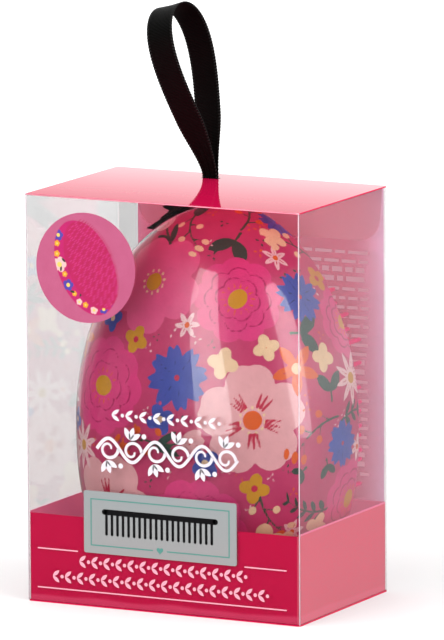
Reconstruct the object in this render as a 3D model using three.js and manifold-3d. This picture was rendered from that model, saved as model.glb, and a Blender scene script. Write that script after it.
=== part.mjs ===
// A detangling hairbrush for the dressing table, standing in its clear folding carton.
// Millimetres, +Z up. The origin is the middle of the carton's foot, +X runs right along the
// front and +Y runs to the back. The brush's dome faces the front, its bristles face the back.
import * as THREE from "three";
import { mergeVertices } from "three/addons/utils/BufferGeometryUtils.js";
import Module from "manifold-3d";

const wasm = await Module();
wasm.setup();

const quarterTurn = Math.PI / 2;
const fullTurn = 2 * Math.PI;
const overrun = 1; // how far a cutting solid runs past the face that it cuts

// Carton. Its outside sizes follow the brush that it holds, the film and the air left around.
const film = 0.35; // thickness of the clear plastic sheet
const brushSideGap = 1.25;
const brushFrontGap = 0.35;
const brushBackGap = 0.95;
const brushFootGap = 0.3;
const brushHeadGap = 4.75;
const creaseRadius = 0.8; // outside radius of the four upright creases
const layerGap = 0.1; // air between two layers of film
const glueFlapWidth = 5.4;
const glueFlapChamfer = 4;

// Closures: a lid hinged on the front wall that tucks in behind, and the same at the foot
const tuckDepth = 14.5;
const tuckCornerRadius = 6;
const tuckLeftInset = 7.9; // from the carton's left face to the flap's edge
const tuckRightInset = 0.9;
const tuckClearance = 0.45; // air between a tuck flap's crease and the layer behind it
const tuckLean = THREE.MathUtils.degToRad(9); // what lets the stiff flap swing past the back wall
const dustFlapLength = 13;
const dustFlapFrontInset = 7;
const dustFlapBackInset = 2.3;
const dustFlapTaper = 2.5;

// Printed layers on the inside of the film
const ink = 0.1;
const inkGap = 0.05;
const bandHeight = 24;
const printMargin = 0.2; // between two printed layers
const backPrintInset = 6.4; // the bare strip over the glued seam

// Stickers on the outside of the front wall
const labelWidth = 45.4;
const labelHeight = 16.8;
const labelThickness = 0.25;
const labelCornerRadius = 0.6;
const labelOffset = -0.7; // from the front wall's middle
const labelFoot = 14.7; // from the foot to the label's lower edge
const stickerDiameter = 29.5;
const stickerThickness = 0.15;
const stickerSideInset = 3.35; // from the carton's left face to the disc's edge
const stickerTopInset = 3.95;
const glueGap = 0.05;

// Ribbon: a loop to hang the carton by, its knot under the lid and two tails
const ribbonWidth = 7.6;
const ribbonThickness = 0.35;
const ribbonPlyGap = 0.5; // between the two strands where they leave the lid
const ribbonOffset = -8.1; // from the lid's middle
const ribbonBackInset = 7.8; // from the carton's back face
const loopHeight = 45.5;
const loopHalfSpread = 10.5;
const loopLeanShare = 0.28; // sideways travel for each unit of height
const loopLeanStart = 3; // the height over which the lean sets in
const loopClearance = 0.55; // air under the loop, so that it can flop to either side
const gatherShare = 0.54; // the ribbon's width in the slot, where it is gathered
const gatherHeight = 16; // above this height the ribbon lies flat again
const slotClearance = 0.5;
const knotHalfWidth = 5;
const knotHalfDepth = 2.4;
const knotHalfHeight = 2.1;
const knotWrapRadius = 0.9;
const tailReach = 18; // how far the long tail runs to the left
const tailForward = 2.3;
const tailDrop = 12.2;
const longTailShares = [
  [-0.03, -0.17, -0.02],
  [-0.11, -0.56, -0.27],
  [-0.35, -0.89, -0.45],
  [-0.64, -1, -0.67],
  [-1, -1, -1],
];
const shortTailShares = [
  [-0.07, 0.06, -0.02],
  [-0.2, -0.22, -0.2],
  [-0.44, -0.53, -0.32],
  [-0.77, -0.64, -0.55],
];

// Brush shell, measured from the widest line of its egg shape
const brushHalfWidth = 38.9;
const toeLength = 55.8;
const heelLength = 48;
const toePower = 1.95; // superellipse powers: 2 is a plain ellipse, more is squarer
const heelPower = 2.75;
const domeDepth = 38;
const domePower = 2.5;
const palmSwell = 18; // how far the dome's peak lies towards the heel
const shellWall = 2.2;
const rimWall = 1.1;

// Bristle bed, snapped into the shell by its pegs
const bedThickness = 2.4;
const bedClearance = 0.3;
const bedSlit = 0.2;
const bedCutPlaces = [-23, -1, 20];
const pegPlaces = [-33, -12, 9.5, 31];
const pegRadius = 1.8;
const pegReach = 14;
const pegClearance = 0.3;
const bossWall = 1.6;
const bossStart = 6; // from the rim to the bosses' mouths

// Bristles
const bristlePitch = 3.75;
const bristleRootRadius = 0.72;
const bristleTipRadius = 0.4;
const bristleLength = 12.8;
const bristleCrown = 1.4; // how much shorter the tips are at the edge of the field
const shortBristleShare = 0.72; // every other row is lower
const bristleSink = 0.4;
const fieldInset = 2.9;
const fieldToeInset = 10.5; // keeps the bristles below the tuck flap
const fieldToePower = 2.4; // squarer than the toe, so the bristles still fill its shoulders

// Facets
const outlineSteps = 48;
const domeSteps = 9;
const roundSteps = 16;
const creaseSteps = 3;
const loopSteps = 44;
const tailSteps = 10;

// Sizes and places worked out from the ones above
const footLevel = 2 * film + layerGap; // top of the folded foot, on which the brush stands
const widestLevel = footLevel + brushFootGap + heelLength;
const cartonHeight = widestLevel + toeLength + brushHeadGap + film;
const wallHeight = cartonHeight - 2 * film;
const halfWidth = brushHalfWidth + brushSideGap + film;
const brushDepth = domeDepth + bristleLength;
const halfDepth = (brushFrontGap + brushDepth + brushBackGap) / 2 + film;
const rimY = -halfDepth + film + brushFrontGap + domeDepth;
const innerBack = halfDepth - film;
const tuckHingeY = innerBack - inkGap - ink - tuckClearance; // back face of a tuck flap at its crease

function material(color, roughness, opacity = 1) {
  return new THREE.MeshStandardMaterial({
    color,
    roughness,
    metalness: 0,
    opacity,
    transparent: opacity < 1,
    side: THREE.DoubleSide,
  });
}

const clearFilm = material(0xf4f6f8, 0.05, 0.18);
const crimsonFilm = material(0xd81058, 0.12);
const lilacPrint = material(0xcf9cbc, 0.3, 0.55);
const crimsonPrint = material(0xd20f55, 0.25);
const silverLabel = material(0xd6e2e2, 0.2);
const pinkPaper = material(0xdc6f98, 0.5);
const blackSatin = material(0x15151a, 0.4);
const printedShell = material(0xb42d63, 0.15);
const pinkNylon = material(0xe0187e, 0.35);

function mesh(name, geometry, finish, position = new THREE.Vector3()) {
  const made = new THREE.Mesh(geometry, finish);
  made.name = name;
  made.position.copy(position);
  return made;
}

function solidFrom(geometry) {
  const bare = geometry.clone();
  bare.deleteAttribute("normal");
  bare.deleteAttribute("uv");
  const merged = mergeVertices(bare, overrun * Number.EPSILON ** (1 / 4));
  return new wasm.Manifold(
    new wasm.Mesh({
      numProp: 3,
      vertProperties: new Float32Array(merged.attributes.position.array),
      triVerts: new Uint32Array(merged.index.array),
    }),
  );
}

function geometryFrom(solid) {
  const { vertProperties, triVerts } = solid.getMesh();
  const indexed = new THREE.BufferGeometry();
  indexed.setAttribute("position", new THREE.BufferAttribute(vertProperties, 3));
  indexed.setIndex(new THREE.BufferAttribute(triVerts, 1));
  const faceted = indexed.toNonIndexed();
  faceted.computeVertexNormals();
  return faceted;
}

// A closed skin over rings of points, each end closed by a fan to its middle.
// The rings run anticlockwise seen from the last ring's side.
function loft(rings) {
  const points = rings.flat();
  const count = rings[0].length;
  const faces = [];
  rings.slice(1).forEach((ring, i) => {
    ring.forEach((point, j) => {
      const a = i * count + j;
      const b = i * count + ((j + 1) % count);
      faces.push(a, b, b + count, a, b + count, a + count);
    });
  });
  [rings[0], rings.at(-1)].forEach((ring, isLast) => {
    const start = isLast ? (rings.length - 1) * count : 0;
    const middle = points.length;
    const centre = ring.reduce((sum, point) => sum.add(point), new THREE.Vector3());
    points.push(centre.divideScalar(count));
    ring.forEach((point, j) => {
      const a = start + j;
      const b = start + ((j + 1) % count);
      faces.push(...(isLast ? [a, b, middle] : [b, a, middle]));
    });
  });
  const geometry = new THREE.BufferGeometry().setFromPoints(points);
  geometry.setIndex(faces);
  geometry.computeVertexNormals();
  return geometry;
}

function extrude(shape, depth, curveSegments = creaseSteps) {
  return new THREE.ExtrudeGeometry(shape, { depth, bevelEnabled: false, curveSegments });
}

// A sheet cut to a shape drawn in X and Z, its back face on y = 0
function uprightSheet(shape, thickness, curveSegments) {
  return extrude(shape, thickness, curveSegments).rotateX(quarterTurn);
}

function roundedRectangle(left, right, low, high, radius) {
  const shape = new THREE.Shape();
  shape.moveTo(left + radius, low);
  shape.lineTo(right - radius, low);
  shape.absarc(right - radius, low + radius, radius, -quarterTurn, 0);
  shape.absarc(right - radius, high - radius, radius, 0, quarterTurn);
  shape.absarc(left + radius, high - radius, radius, quarterTurn, 2 * quarterTurn);
  shape.absarc(left + radius, low + radius, radius, 2 * quarterTurn, 3 * quarterTurn);
  return shape;
}

// Front or back wall in plan: a flat sheet with the upright creases' bends at its two ends
function creasedWallPlan() {
  const endX = halfWidth - creaseRadius;
  const bendY = -halfDepth + creaseRadius;
  const insideRadius = creaseRadius - film;
  const plan = new THREE.Shape();
  plan.absarc(-endX, bendY, creaseRadius, 2 * quarterTurn, 3 * quarterTurn);
  plan.absarc(endX, bendY, creaseRadius, 3 * quarterTurn, fullTurn);
  plan.absarc(endX, bendY, insideRadius, fullTurn, 3 * quarterTurn, true);
  plan.absarc(-endX, bendY, insideRadius, 3 * quarterTurn, 2 * quarterTurn, true);
  return plan;
}

function wallMeshes() {
  const creased = extrude(creasedWallPlan(), wallHeight);
  const side = new THREE.BoxGeometry(film, 2 * (halfDepth - creaseRadius), wallHeight);
  const sideX = halfWidth - film / 2;
  const sideZ = film + wallHeight / 2;
  const foot = new THREE.Vector3(0, 0, film);
  const back = mesh("carton_back", creased, clearFilm, foot);
  back.rotation.z = 2 * quarterTurn;
  return [
    mesh("carton_front", creased, clearFilm, foot),
    back,
    mesh("carton_left", side, clearFilm, new THREE.Vector3(-sideX, 0, sideZ)),
    mesh("carton_right", side, clearFilm, new THREE.Vector3(sideX, 0, sideZ)),
  ];
}

// The narrow flap of the left wall that is glued behind the back wall, its ends cut to a slant
function glueFlapMesh() {
  const left = -halfWidth + creaseRadius;
  const right = left + glueFlapWidth;
  const low = footLevel + layerGap;
  const high = cartonHeight - film - layerGap;
  const shape = new THREE.Shape();
  shape.moveTo(left, low);
  shape.lineTo(right, low + glueFlapChamfer);
  shape.lineTo(right, high - glueFlapChamfer);
  shape.lineTo(left, high);
  const sheet = uprightSheet(shape, film);
  return mesh("glue_flap", sheet, clearFilm, new THREE.Vector3(0, innerBack - layerGap, 0));
}

// The printed band round the foot: one strip from the glued seam along all four walls
function baseBandMesh() {
  const outer = film + inkGap;
  const inner = outer + ink;
  const centreX = halfWidth - creaseRadius;
  const centreY = halfDepth - creaseRadius;
  const startX = -halfWidth + backPrintInset;
  const endY = centreY - layerGap;
  const walk = (path, inset, forward) => {
    const radius = creaseRadius - inset;
    const corners = [
      [centreX, centreY, quarterTurn, 0],
      [centreX, -centreY, 0, -quarterTurn],
      [-centreX, -centreY, -quarterTurn, -2 * quarterTurn],
    ];
    const start = [startX, halfDepth - inset];
    const end = [-halfWidth + inset, endY];
    path.lineTo(...(forward ? start : end));
    (forward ? corners : corners.reverse()).forEach(([x, y, from, to]) => {
      path.absarc(x, y, radius, forward ? from : to, forward ? to : from, forward);
    });
    path.lineTo(...(forward ? end : start));
  };
  const plan = new THREE.Shape();
  plan.moveTo(startX, halfDepth - outer);
  walk(plan, outer, true);
  walk(plan, inner, false);
  const low = film + inkGap;
  const strip = extrude(plan, bandHeight - low);
  return mesh("base_band", strip, crimsonPrint, new THREE.Vector3(0, 0, low));
}

function backPrintMesh() {
  const left = -halfWidth + backPrintInset;
  const right = halfWidth - creaseRadius;
  const low = bandHeight + printMargin;
  const high = cartonHeight - film - printMargin;
  const sheet = uprightSheet(roundedRectangle(left, right, low, high, ink), ink);
  return mesh("back_print", sheet, lilacPrint, new THREE.Vector3(0, innerBack - inkGap, 0));
}

// A tuck flap drawn in X and Z, hanging from its crease on z = 0
function tuckFlapShape() {
  const left = -halfWidth + tuckLeftInset;
  const right = halfWidth - tuckRightInset;
  const shape = new THREE.Shape();
  shape.moveTo(left, 0);
  shape.lineTo(left, -tuckDepth + tuckCornerRadius);
  shape.absarc(
    left + tuckCornerRadius,
    -tuckDepth + tuckCornerRadius,
    tuckCornerRadius,
    2 * quarterTurn,
    3 * quarterTurn,
  );
  shape.absarc(
    right - tuckCornerRadius,
    -tuckDepth + tuckCornerRadius,
    tuckCornerRadius,
    3 * quarterTurn,
    fullTurn,
  );
  shape.lineTo(right, 0);
  return shape;
}

// A dust flap of the left wall seen from above, with its crease on x = 0. Its front corner is cut
// back, so that it clears the lid as both of them rise.
function dustFlapShape() {
  const front = -halfDepth + dustFlapFrontInset;
  const back = halfDepth - dustFlapBackInset;
  const shape = new THREE.Shape();
  shape.moveTo(layerGap, front - dustFlapTaper);
  shape.lineTo(dustFlapLength, front + dustFlapTaper);
  shape.lineTo(dustFlapLength, back - dustFlapTaper);
  shape.lineTo(layerGap, back);
  return shape;
}

function closurePlan() {
  return roundedRectangle(-halfWidth, halfWidth, -halfDepth, halfDepth, creaseRadius);
}

function footMeshes() {
  const panel = mesh("bottom_panel", extrude(closurePlan(), film), crimsonFilm);
  const flapSheet = uprightSheet(tuckFlapShape(), film, 2 * creaseSteps).rotateY(2 * quarterTurn);
  const tuck = mesh("bottom_tuck_flap", flapSheet, crimsonFilm);
  tuck.position.set(0, tuckHingeY - film, film + layerGap);
  const crease = halfWidth - film - inkGap - ink;
  const flap = extrude(dustFlapShape(), film);
  const left = mesh("bottom_dust_left", flap, clearFilm);
  left.position.set(-crease, 0, film + layerGap / 2);
  const right = mesh("bottom_dust_right", flap, clearFilm);
  right.rotation.y = 2 * quarterTurn;
  right.position.set(crease, 0, 2 * film + layerGap / 2);
  return [panel, tuck, left, right];
}

function topDustMeshes() {
  const flap = extrude(dustFlapShape(), film);
  const level = cartonHeight - film - layerGap;
  const left = mesh("dust_flap_left", flap, clearFilm);
  left.position.set(-halfWidth + film, 0, level - film);
  const right = mesh("dust_flap_right", flap, clearFilm);
  right.rotation.y = 2 * quarterTurn;
  right.position.set(halfWidth - film, 0, level);
  return [left, right];
}

// A flat ribbon swept along points; across gives its width's direction at each point, and
// widthShares what share of its full width it has there
function strap(path, across, widthShares = path.map(() => 1)) {
  const rings = path.map((point, i) => {
    const before = path[Math.max(i - 1, 0)];
    const after = path[Math.min(i + 1, path.length - 1)];
    const along = after.clone().sub(before).normalize();
    const wide = across[i].clone();
    wide.addScaledVector(along, -wide.dot(along)).setLength((ribbonWidth / 2) * widthShares[i]);
    const thick = along.clone().cross(wide).setLength(ribbonThickness / 2);
    return [
      [1, 1],
      [-1, 1],
      [-1, -1],
      [1, -1],
    ].map(([w, t]) => point.clone().addScaledVector(wide, w).addScaledVector(thick, t));
  });
  return loft(rings);
}

// The hanging loop: a teardrop seen from the side, which leans to the left as it rises.
// Its local origin is on top of the lid, over the middle of the slot.
function ribbonLoopMesh() {
  const strandY = (ribbonThickness + ribbonPlyGap) / 2;
  const spread = (turn) => Math.sin(turn) * (1 - Math.cos(turn));
  const widest = spread(fullTurn / 3);
  const path = [];
  const across = [];
  const widthShares = [];
  for (let i = 0; i <= loopSteps; i += 1) {
    const turn = (fullTurn * i) / loopSteps;
    const rise = (loopHeight * (1 - Math.cos(turn))) / 2;
    const side = Math.cos(turn / 2);
    const y = -(loopHalfSpread * spread(turn)) / widest - strandY * side;
    const reach = Math.hypot(rise, loopLeanStart);
    const x = -loopLeanShare * (reach - loopLeanStart);
    path.push(new THREE.Vector3(x, y, loopClearance + rise));
    across.push(new THREE.Vector3(1, 0, (loopLeanShare * rise) / reach));
    const opened = THREE.MathUtils.smoothstep(rise, 0, gatherHeight);
    widthShares.push(gatherShare + (1 - gatherShare) * opened);
  }
  return mesh("ribbon_loop", strap(path, across, widthShares), blackSatin);
}

// Under the lid the strands are tied in one knot, and its two tails run down to the left
function ribbonKnotMesh() {
  const body = solidFrom(new THREE.SphereGeometry(1, roundSteps, roundSteps / 2)
    .scale(knotHalfWidth, knotHalfDepth, knotHalfHeight));
  const wrapShare = knotWrapRadius / knotHalfHeight;
  const wrap = solidFrom(new THREE.TorusGeometry(1, wrapShare, roundSteps / 2, roundSteps)
    .rotateY(quarterTurn)
    .scale(knotHalfHeight, knotHalfDepth, knotHalfHeight - knotWrapRadius / 2));
  const lidUnder = knotHalfHeight + layerGap + knotWrapRadius / 2;
  const stubHeight = lidUnder + film - layerGap / 2;
  const stub = solidFrom(new THREE.BoxGeometry(
    ribbonWidth * gatherShare,
    2 * ribbonThickness + ribbonPlyGap / 2,
    stubHeight,
  ).translate(0, 0, stubHeight / 2));
  const tail = (shares, wide) => {
    const stations = shares.map(([x, y, z]) => (
      new THREE.Vector3(x * tailReach, y * tailForward, z * tailDrop)
    ));
    const path = new THREE.CatmullRomCurve3(stations).getPoints(tailSteps);
    return solidFrom(strap(path, path.map(() => wide)));
  };
  const solid = wasm.Manifold.union([
    body,
    wrap,
    stub,
    tail(longTailShares, new THREE.Vector3(-0.63, 0.77, 0.14)),
    tail(shortTailShares, new THREE.Vector3(-0.5, 0.8, 0.35)),
  ]);
  const knot = mesh("ribbon_knot", geometryFrom(solid), blackSatin);
  knot.position.set(0, 0, -film - lidUnder);
  return knot;
}

// The lid turns on its front crease, and carries the tuck flap and the ribbon
function lidGroup() {
  const panelShape = closurePlan();
  const ribbonY = halfDepth - ribbonBackInset;
  const slotHalfX = (ribbonWidth * gatherShare) / 2 + slotClearance;
  const slotHalfY = ribbonThickness + ribbonPlyGap / 4 + slotClearance;
  panelShape.holes.push(roundedRectangle(
    ribbonOffset - slotHalfX,
    ribbonOffset + slotHalfX,
    ribbonY - slotHalfY,
    ribbonY + slotHalfY,
    slotHalfY / 2,
  ));
  const panel = mesh("lid_panel", extrude(panelShape, film), crimsonFilm);
  panel.position.set(0, halfDepth, 0);

  const tuck = mesh("tuck_flap", uprightSheet(tuckFlapShape(), film, 2 * creaseSteps), crimsonFilm);
  tuck.position.set(0, film, 0);
  const tuckHinge = new THREE.Group().add(tuck);
  tuckHinge.position.set(0, halfDepth + tuckHingeY - film, -layerGap / 2);
  tuckHinge.rotation.x = -tuckLean;

  const ribbon = new THREE.Group().add(ribbonLoopMesh(), ribbonKnotMesh());
  ribbon.position.set(ribbonOffset, halfDepth + ribbonY, film);

  const lid = new THREE.Group().add(panel, tuckHinge, ribbon);
  lid.position.set(0, -halfDepth, cartonHeight - film);
  return lid;
}

function stickerMeshes() {
  const face = -halfDepth - glueGap;
  const plate = roundedRectangle(
    -labelWidth / 2,
    labelWidth / 2,
    -labelHeight / 2,
    labelHeight / 2,
    labelCornerRadius,
  );
  const label = mesh("label_plate", uprightSheet(plate, labelThickness), silverLabel);
  label.position.set(labelOffset, face, labelFoot + labelHeight / 2);
  const radius = stickerDiameter / 2;
  const disc = new THREE.CylinderGeometry(radius, radius, stickerThickness, 2 * roundSteps);
  const sticker = mesh("round_sticker", disc, pinkPaper);
  sticker.position.set(
    -halfWidth + stickerSideInset + radius,
    face - stickerThickness / 2,
    cartonHeight - stickerTopInset - radius,
  );
  return [label, sticker];
}

// The brush is drawn lying on its dome: X across, +Y to the heel, +Z along the bristles, and
// its widest line at y = 0 in the plane of the rim. Each half of the egg is a superellipse.
function eggPoint(turn, inset, toeInset = inset) {
  const power = Math.sin(turn) < 0 ? toePower : heelPower;
  const length = Math.sin(turn) < 0 ? toeLength - toeInset : heelLength - inset;
  const bend = (value) => Math.sign(value) * Math.abs(value) ** (2 / power);
  return { x: (brushHalfWidth - inset) * bend(Math.cos(turn)), y: length * bend(Math.sin(turn)) };
}

function eggRing(inset, z, shrink = 1) {
  const ring = [];
  for (let i = 0; i < outlineSteps; i += 1) {
    const { x, y } = eggPoint((fullTurn * i) / outlineSteps, inset);
    ring.push(new THREE.Vector3(x * shrink, y * shrink + palmSwell * (1 - shrink), z));
  }
  return ring;
}

// The dome's skin, drawn in by inset, from its peak up to the rim and on to z = top
function domeSolid(inset, top) {
  const depth = domeDepth - inset;
  const rings = [];
  for (let i = domeSteps; i >= 0; i -= 1) {
    const lift = (quarterTurn * (i / (domeSteps + 0.5)));
    const shrink = Math.cos(lift) ** (2 / domePower);
    rings.push(eggRing(inset, -depth * Math.sin(lift) ** (2 / domePower), shrink));
  }
  if (top > 0) rings.push(eggRing(inset, top));
  return solidFrom(loft(rings));
}

function prismSolid(inset, low, high) {
  return solidFrom(loft([eggRing(inset, low), eggRing(inset, high)]));
}

function postSolid(radius, y, low, high) {
  const post = new THREE.CylinderGeometry(radius, radius, high - low, roundSteps);
  return solidFrom(post.rotateX(quarterTurn).translate(0, y, (low + high) / 2));
}

// The shell: a domed cover with a ledge for the bed and a boss for each of its pegs
function shellMesh() {
  const boreRadius = pegRadius + pegClearance;
  const boreEnd = -pegReach - pegClearance;
  const pocket = prismSolid(rimWall, -bedThickness, overrun);
  const hollow = domeSolid(shellWall, overrun).add(pocket);
  const posts = pegPlaces.map((y) => postSolid(boreRadius + bossWall, y, -domeDepth, -bossStart));
  const bores = pegPlaces.map((y) => postSolid(boreRadius, y, boreEnd, overrun));
  const bosses = wasm.Manifold.union(posts).intersect(domeSolid(shellWall / 2, 0));
  const solid = domeSolid(0, 0)
    .subtract(hollow)
    .add(bosses)
    .subtract(wasm.Manifold.union(bores));
  return mesh("brush_shell", geometryFrom(solid), printedShell);
}

function bristleSolid(x, y, length) {
  const strand = new THREE.CylinderGeometry(bristleTipRadius, bristleRootRadius, length, 4, 1);
  return solidFrom(strand.rotateX(quarterTurn).translate(x, y, length / 2 - bristleSink));
}

// How far out a place lies in the bristle field: 0 in the middle, 1 on its edge
function fieldShare(x, y) {
  const power = y < 0 ? fieldToePower : heelPower;
  const length = y < 0 ? toeLength - fieldToeInset : heelLength - fieldInset;
  return Math.abs(x / (brushHalfWidth - fieldInset)) ** power + Math.abs(y / length) ** power;
}

// Bristles stand in staggered rows, tall and short by turns, lower towards the field's edge
function bristlePlaces() {
  const rowPitch = bristlePitch * Math.sin(Math.PI / 3);
  const rowCount = Math.ceil(toeLength / rowPitch);
  const columnCount = Math.ceil(brushHalfWidth / bristlePitch);
  const places = [];
  for (let row = -rowCount; row <= rowCount; row += 1) {
    const stagger = row % 2 === 0 ? 0 : bristlePitch / 2;
    for (let column = -columnCount; column <= columnCount; column += 1) {
      const x = column * bristlePitch + stagger;
      const y = row * rowPitch;
      const share = fieldShare(x, y);
      const height = bristleLength - bristleCrown * share;
      const length = row % 2 === 0 ? height : height * shortBristleShare;
      if (share < 1) places.push({ x, y, length });
    }
  }
  return places;
}

// The bed is moulded in one with its bristles and pegs. It is cut across into four slices.
function bristleBedMeshes() {
  const bed = prismSolid(rimWall + bedClearance, layerGap - bedThickness, 0);
  const edges = [-toeLength - overrun, ...bedCutPlaces, heelLength + overrun];
  const places = bristlePlaces();
  console.log(places.length + " bristles");
  return pegPlaces.map((pegY, i) => {
    const low = edges[i] + bedSlit / 2;
    const high = edges[i + 1] - bedSlit / 2;
    const slab = new THREE.BoxGeometry(2 * brushHalfWidth, high - low, 2 * bedThickness);
    const slice = bed.intersect(solidFrom(slab.translate(0, (low + high) / 2, 0)));
    const peg = postSolid(pegRadius, pegY, -pegReach, -bedThickness / 2);
    const strands = places
      .filter(({ y }) => y - bristleRootRadius > low && y + bristleRootRadius < high)
      .map(({ x, y, length }) => bristleSolid(x, y, length + bristleSink));
    const solid = wasm.Manifold.union([slice, peg, ...strands]);
    return mesh("bristle_pad_" + (i + 1), geometryFrom(solid), pinkNylon);
  });
}

function brushGroup() {
  const brush = new THREE.Group().add(shellMesh(), ...bristleBedMeshes());
  brush.rotation.x = -quarterTurn;
  brush.position.set(0, rimY, widestLevel);
  return brush;
}

const boxedBrush = new THREE.Group().add(
  ...wallMeshes(),
  glueFlapMesh(),
  baseBandMesh(),
  backPrintMesh(),
  ...footMeshes(),
  ...topDustMeshes(),
  lidGroup(),
  ...stickerMeshes(),
  brushGroup(),
);

export default boxedBrush;
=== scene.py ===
# %% [markdown]
# # A boxed detangling hairbrush
# An egg-shaped palm brush stands in a clear folding carton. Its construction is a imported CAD
# model, which is loaded first and stays as it is. This lesson adds what that model leaves plain:
# the flower print on the shell, the round bristles, the satin ribbon, the gloss of the film and
# the printed trim. Blender works in metres, so a millimetre gets a name of its own.

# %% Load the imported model
import math

import bmesh
import bpy
import numpy as np
from mathutils import Matrix, Vector


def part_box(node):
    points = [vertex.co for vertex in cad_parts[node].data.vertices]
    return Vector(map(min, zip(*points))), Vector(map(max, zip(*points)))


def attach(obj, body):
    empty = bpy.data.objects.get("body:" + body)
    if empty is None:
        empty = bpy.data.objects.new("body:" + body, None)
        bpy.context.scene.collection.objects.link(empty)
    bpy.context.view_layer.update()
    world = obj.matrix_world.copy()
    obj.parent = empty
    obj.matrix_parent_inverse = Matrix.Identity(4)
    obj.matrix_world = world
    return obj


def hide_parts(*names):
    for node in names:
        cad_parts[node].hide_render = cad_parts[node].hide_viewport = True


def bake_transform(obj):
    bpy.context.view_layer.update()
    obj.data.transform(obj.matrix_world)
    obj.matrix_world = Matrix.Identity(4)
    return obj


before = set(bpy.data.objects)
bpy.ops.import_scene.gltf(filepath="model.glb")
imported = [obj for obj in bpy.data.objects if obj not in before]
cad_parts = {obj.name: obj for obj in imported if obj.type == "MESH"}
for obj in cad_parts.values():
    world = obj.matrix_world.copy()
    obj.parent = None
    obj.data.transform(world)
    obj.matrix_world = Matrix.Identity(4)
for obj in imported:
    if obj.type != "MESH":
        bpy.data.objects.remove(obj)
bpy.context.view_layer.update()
MM = 0.001
print("CAD nodes:", len(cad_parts))

# %% [markdown]
# ## Sizes that everything follows
# Nothing here is measured twice. The carton's and the brush's corners come from the loaded
# nodes, and only the shape's character, such as how square the egg's heel is, is written down.

# %% Corners of the carton and the brush
front_low, front_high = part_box("carton_front")
lid_low, lid_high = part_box("lid_panel")
back_wall_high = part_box("carton_back")[1]
shell_low, shell_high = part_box("brush_shell")
FRONT_FACE = front_low.y
LID_TOP = lid_high.z
print("carton", [round(side / MM, 1) for side in (lid_high - Vector((lid_low.x, lid_low.y, 0)))])

# %% [markdown]
# ## Camera
# The view is the photograph's: from the right, a little above the lid, through a long lens. A
# camera that tracks an empty would stand level, and this one has to lean a little. So it is
# turned about the upright axis, tipped down, rolled slightly and then set back along its own axis.

# %% Aim the camera
CAMERA_AIM = Vector((-2.05, 12.81, 72.76)) * MM
CAMERA_DISTANCE = 2.3092
CAMERA_TURN = math.radians(26.976)
CAMERA_TILT = math.radians(9.6286)
CAMERA_ROLL = math.radians(-0.2819)
LENS_LENGTH = 485.3
SENSOR_SIZE = 36

camera_data = bpy.data.cameras.new("camera")
camera_data.lens = LENS_LENGTH
camera_data.sensor_width = SENSOR_SIZE
camera = bpy.data.objects.new("camera", camera_data)
bpy.context.scene.collection.objects.link(camera)
upright = Matrix.Rotation(CAMERA_TURN, 4, "Z") @ Matrix.Rotation(math.pi / 2 - CAMERA_TILT, 4, "X")
facing = upright @ Matrix.Rotation(CAMERA_ROLL, 4, "Z")
setback = facing.to_3x3() @ Vector((0, 0, CAMERA_DISTANCE))
camera.matrix_world = Matrix.Translation(CAMERA_AIM + setback) @ facing
bpy.context.scene.camera = camera
print("camera at", [round(place, 3) for place in camera.matrix_world.translation])

# %% [markdown]
# ## Node helpers
# A finish is a small graph of nodes, which could also be wired by hand in the shader editor.
# Helpers keep such a graph readable here: one makes a material with its shader, one adds a node
# with its settings, and one turns a printer's colour code into the linear values that the shader
# wants. The others are the sums, ranges and noises that nearly every finish needs.

# %% Colours and nodes
def paint(code):
    """A printer's code of six hexadecimal digits as linear light."""
    shares = [int(code[i:i + 2], 16) / 255 for i in (0, 2, 4)]
    linear = [s / 12.92 if s <= 0.04045 else ((s + 0.055) / 1.055) ** 2.4 for s in shares]
    return (*linear, 1)


def add_node(tree, kind, inputs=None, **settings):
    """A node with its settings, whose inputs are fixed values or links from other nodes."""
    node = tree.nodes.new(kind)
    for name, value in settings.items():
        setattr(node, name, value)
    for socket, value in (inputs or {}).items():
        if isinstance(value, bpy.types.NodeSocket):
            tree.links.new(value, node.inputs[socket])
        else:
            node.inputs[socket].default_value = value
    return node


def new_finish(name, colour, roughness, **sockets):
    """A material, its node tree and its shader, with further sockets given by name."""
    finish = bpy.data.materials.new(name)
    finish.use_nodes = True
    shader = finish.node_tree.nodes["Principled BSDF"]
    shader.inputs["Base Color"].default_value = colour
    shader.inputs["Roughness"].default_value = roughness
    for socket, value in sockets.items():
        shader.inputs[socket.replace("_", " ")].default_value = value
    return finish, finish.node_tree, shader


print("middle grey in linear light:", round(paint("808080")[0], 3))

# %% Sums, ranges and noises
def math_node(tree, operation, first, second=0.0):
    return add_node(tree, "ShaderNodeMath", {0: first, 1: second}, operation=operation).outputs[0]


def map_range(tree, value, low, high, to_low=0.0, to_high=1.0):
    """Carries a value from one range to another, and stops it at the new range's ends."""
    sockets = {"Value": value, "From Min": low, "From Max": high, "To Min": to_low, "To Max": to_high}
    return add_node(tree, "ShaderNodeMapRange", sockets).outputs[0]


def place_parts(tree, kind="Object"):
    """The X, Y and Z of the point that is shaded."""
    place = add_node(tree, "ShaderNodeTexCoord").outputs[kind]
    return add_node(tree, "ShaderNodeSeparateXYZ", {0: place}).outputs


def noise_field(tree, size, detail=2.0):
    """A soft noise from 0 to 1 whose lumps are about as large as the size."""
    place = add_node(tree, "ShaderNodeTexCoord").outputs["Object"]
    scale = {"Vector": place, "Scale": 1 / size, "Detail": detail}
    return add_node(tree, "ShaderNodeTexNoise", scale).outputs["Fac"]


def add_relief(tree, shader, height, depth):
    """Shades the face as if it rose by the height times the depth."""
    bump = add_node(tree, "ShaderNodeBump", {"Height": height, "Distance": depth, "Strength": 1.0})
    tree.links.new(bump.outputs["Normal"], shader.inputs["Normal"])


print("a noise with 2 mm lumps has the scale", 1 / (2 * MM))

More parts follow.
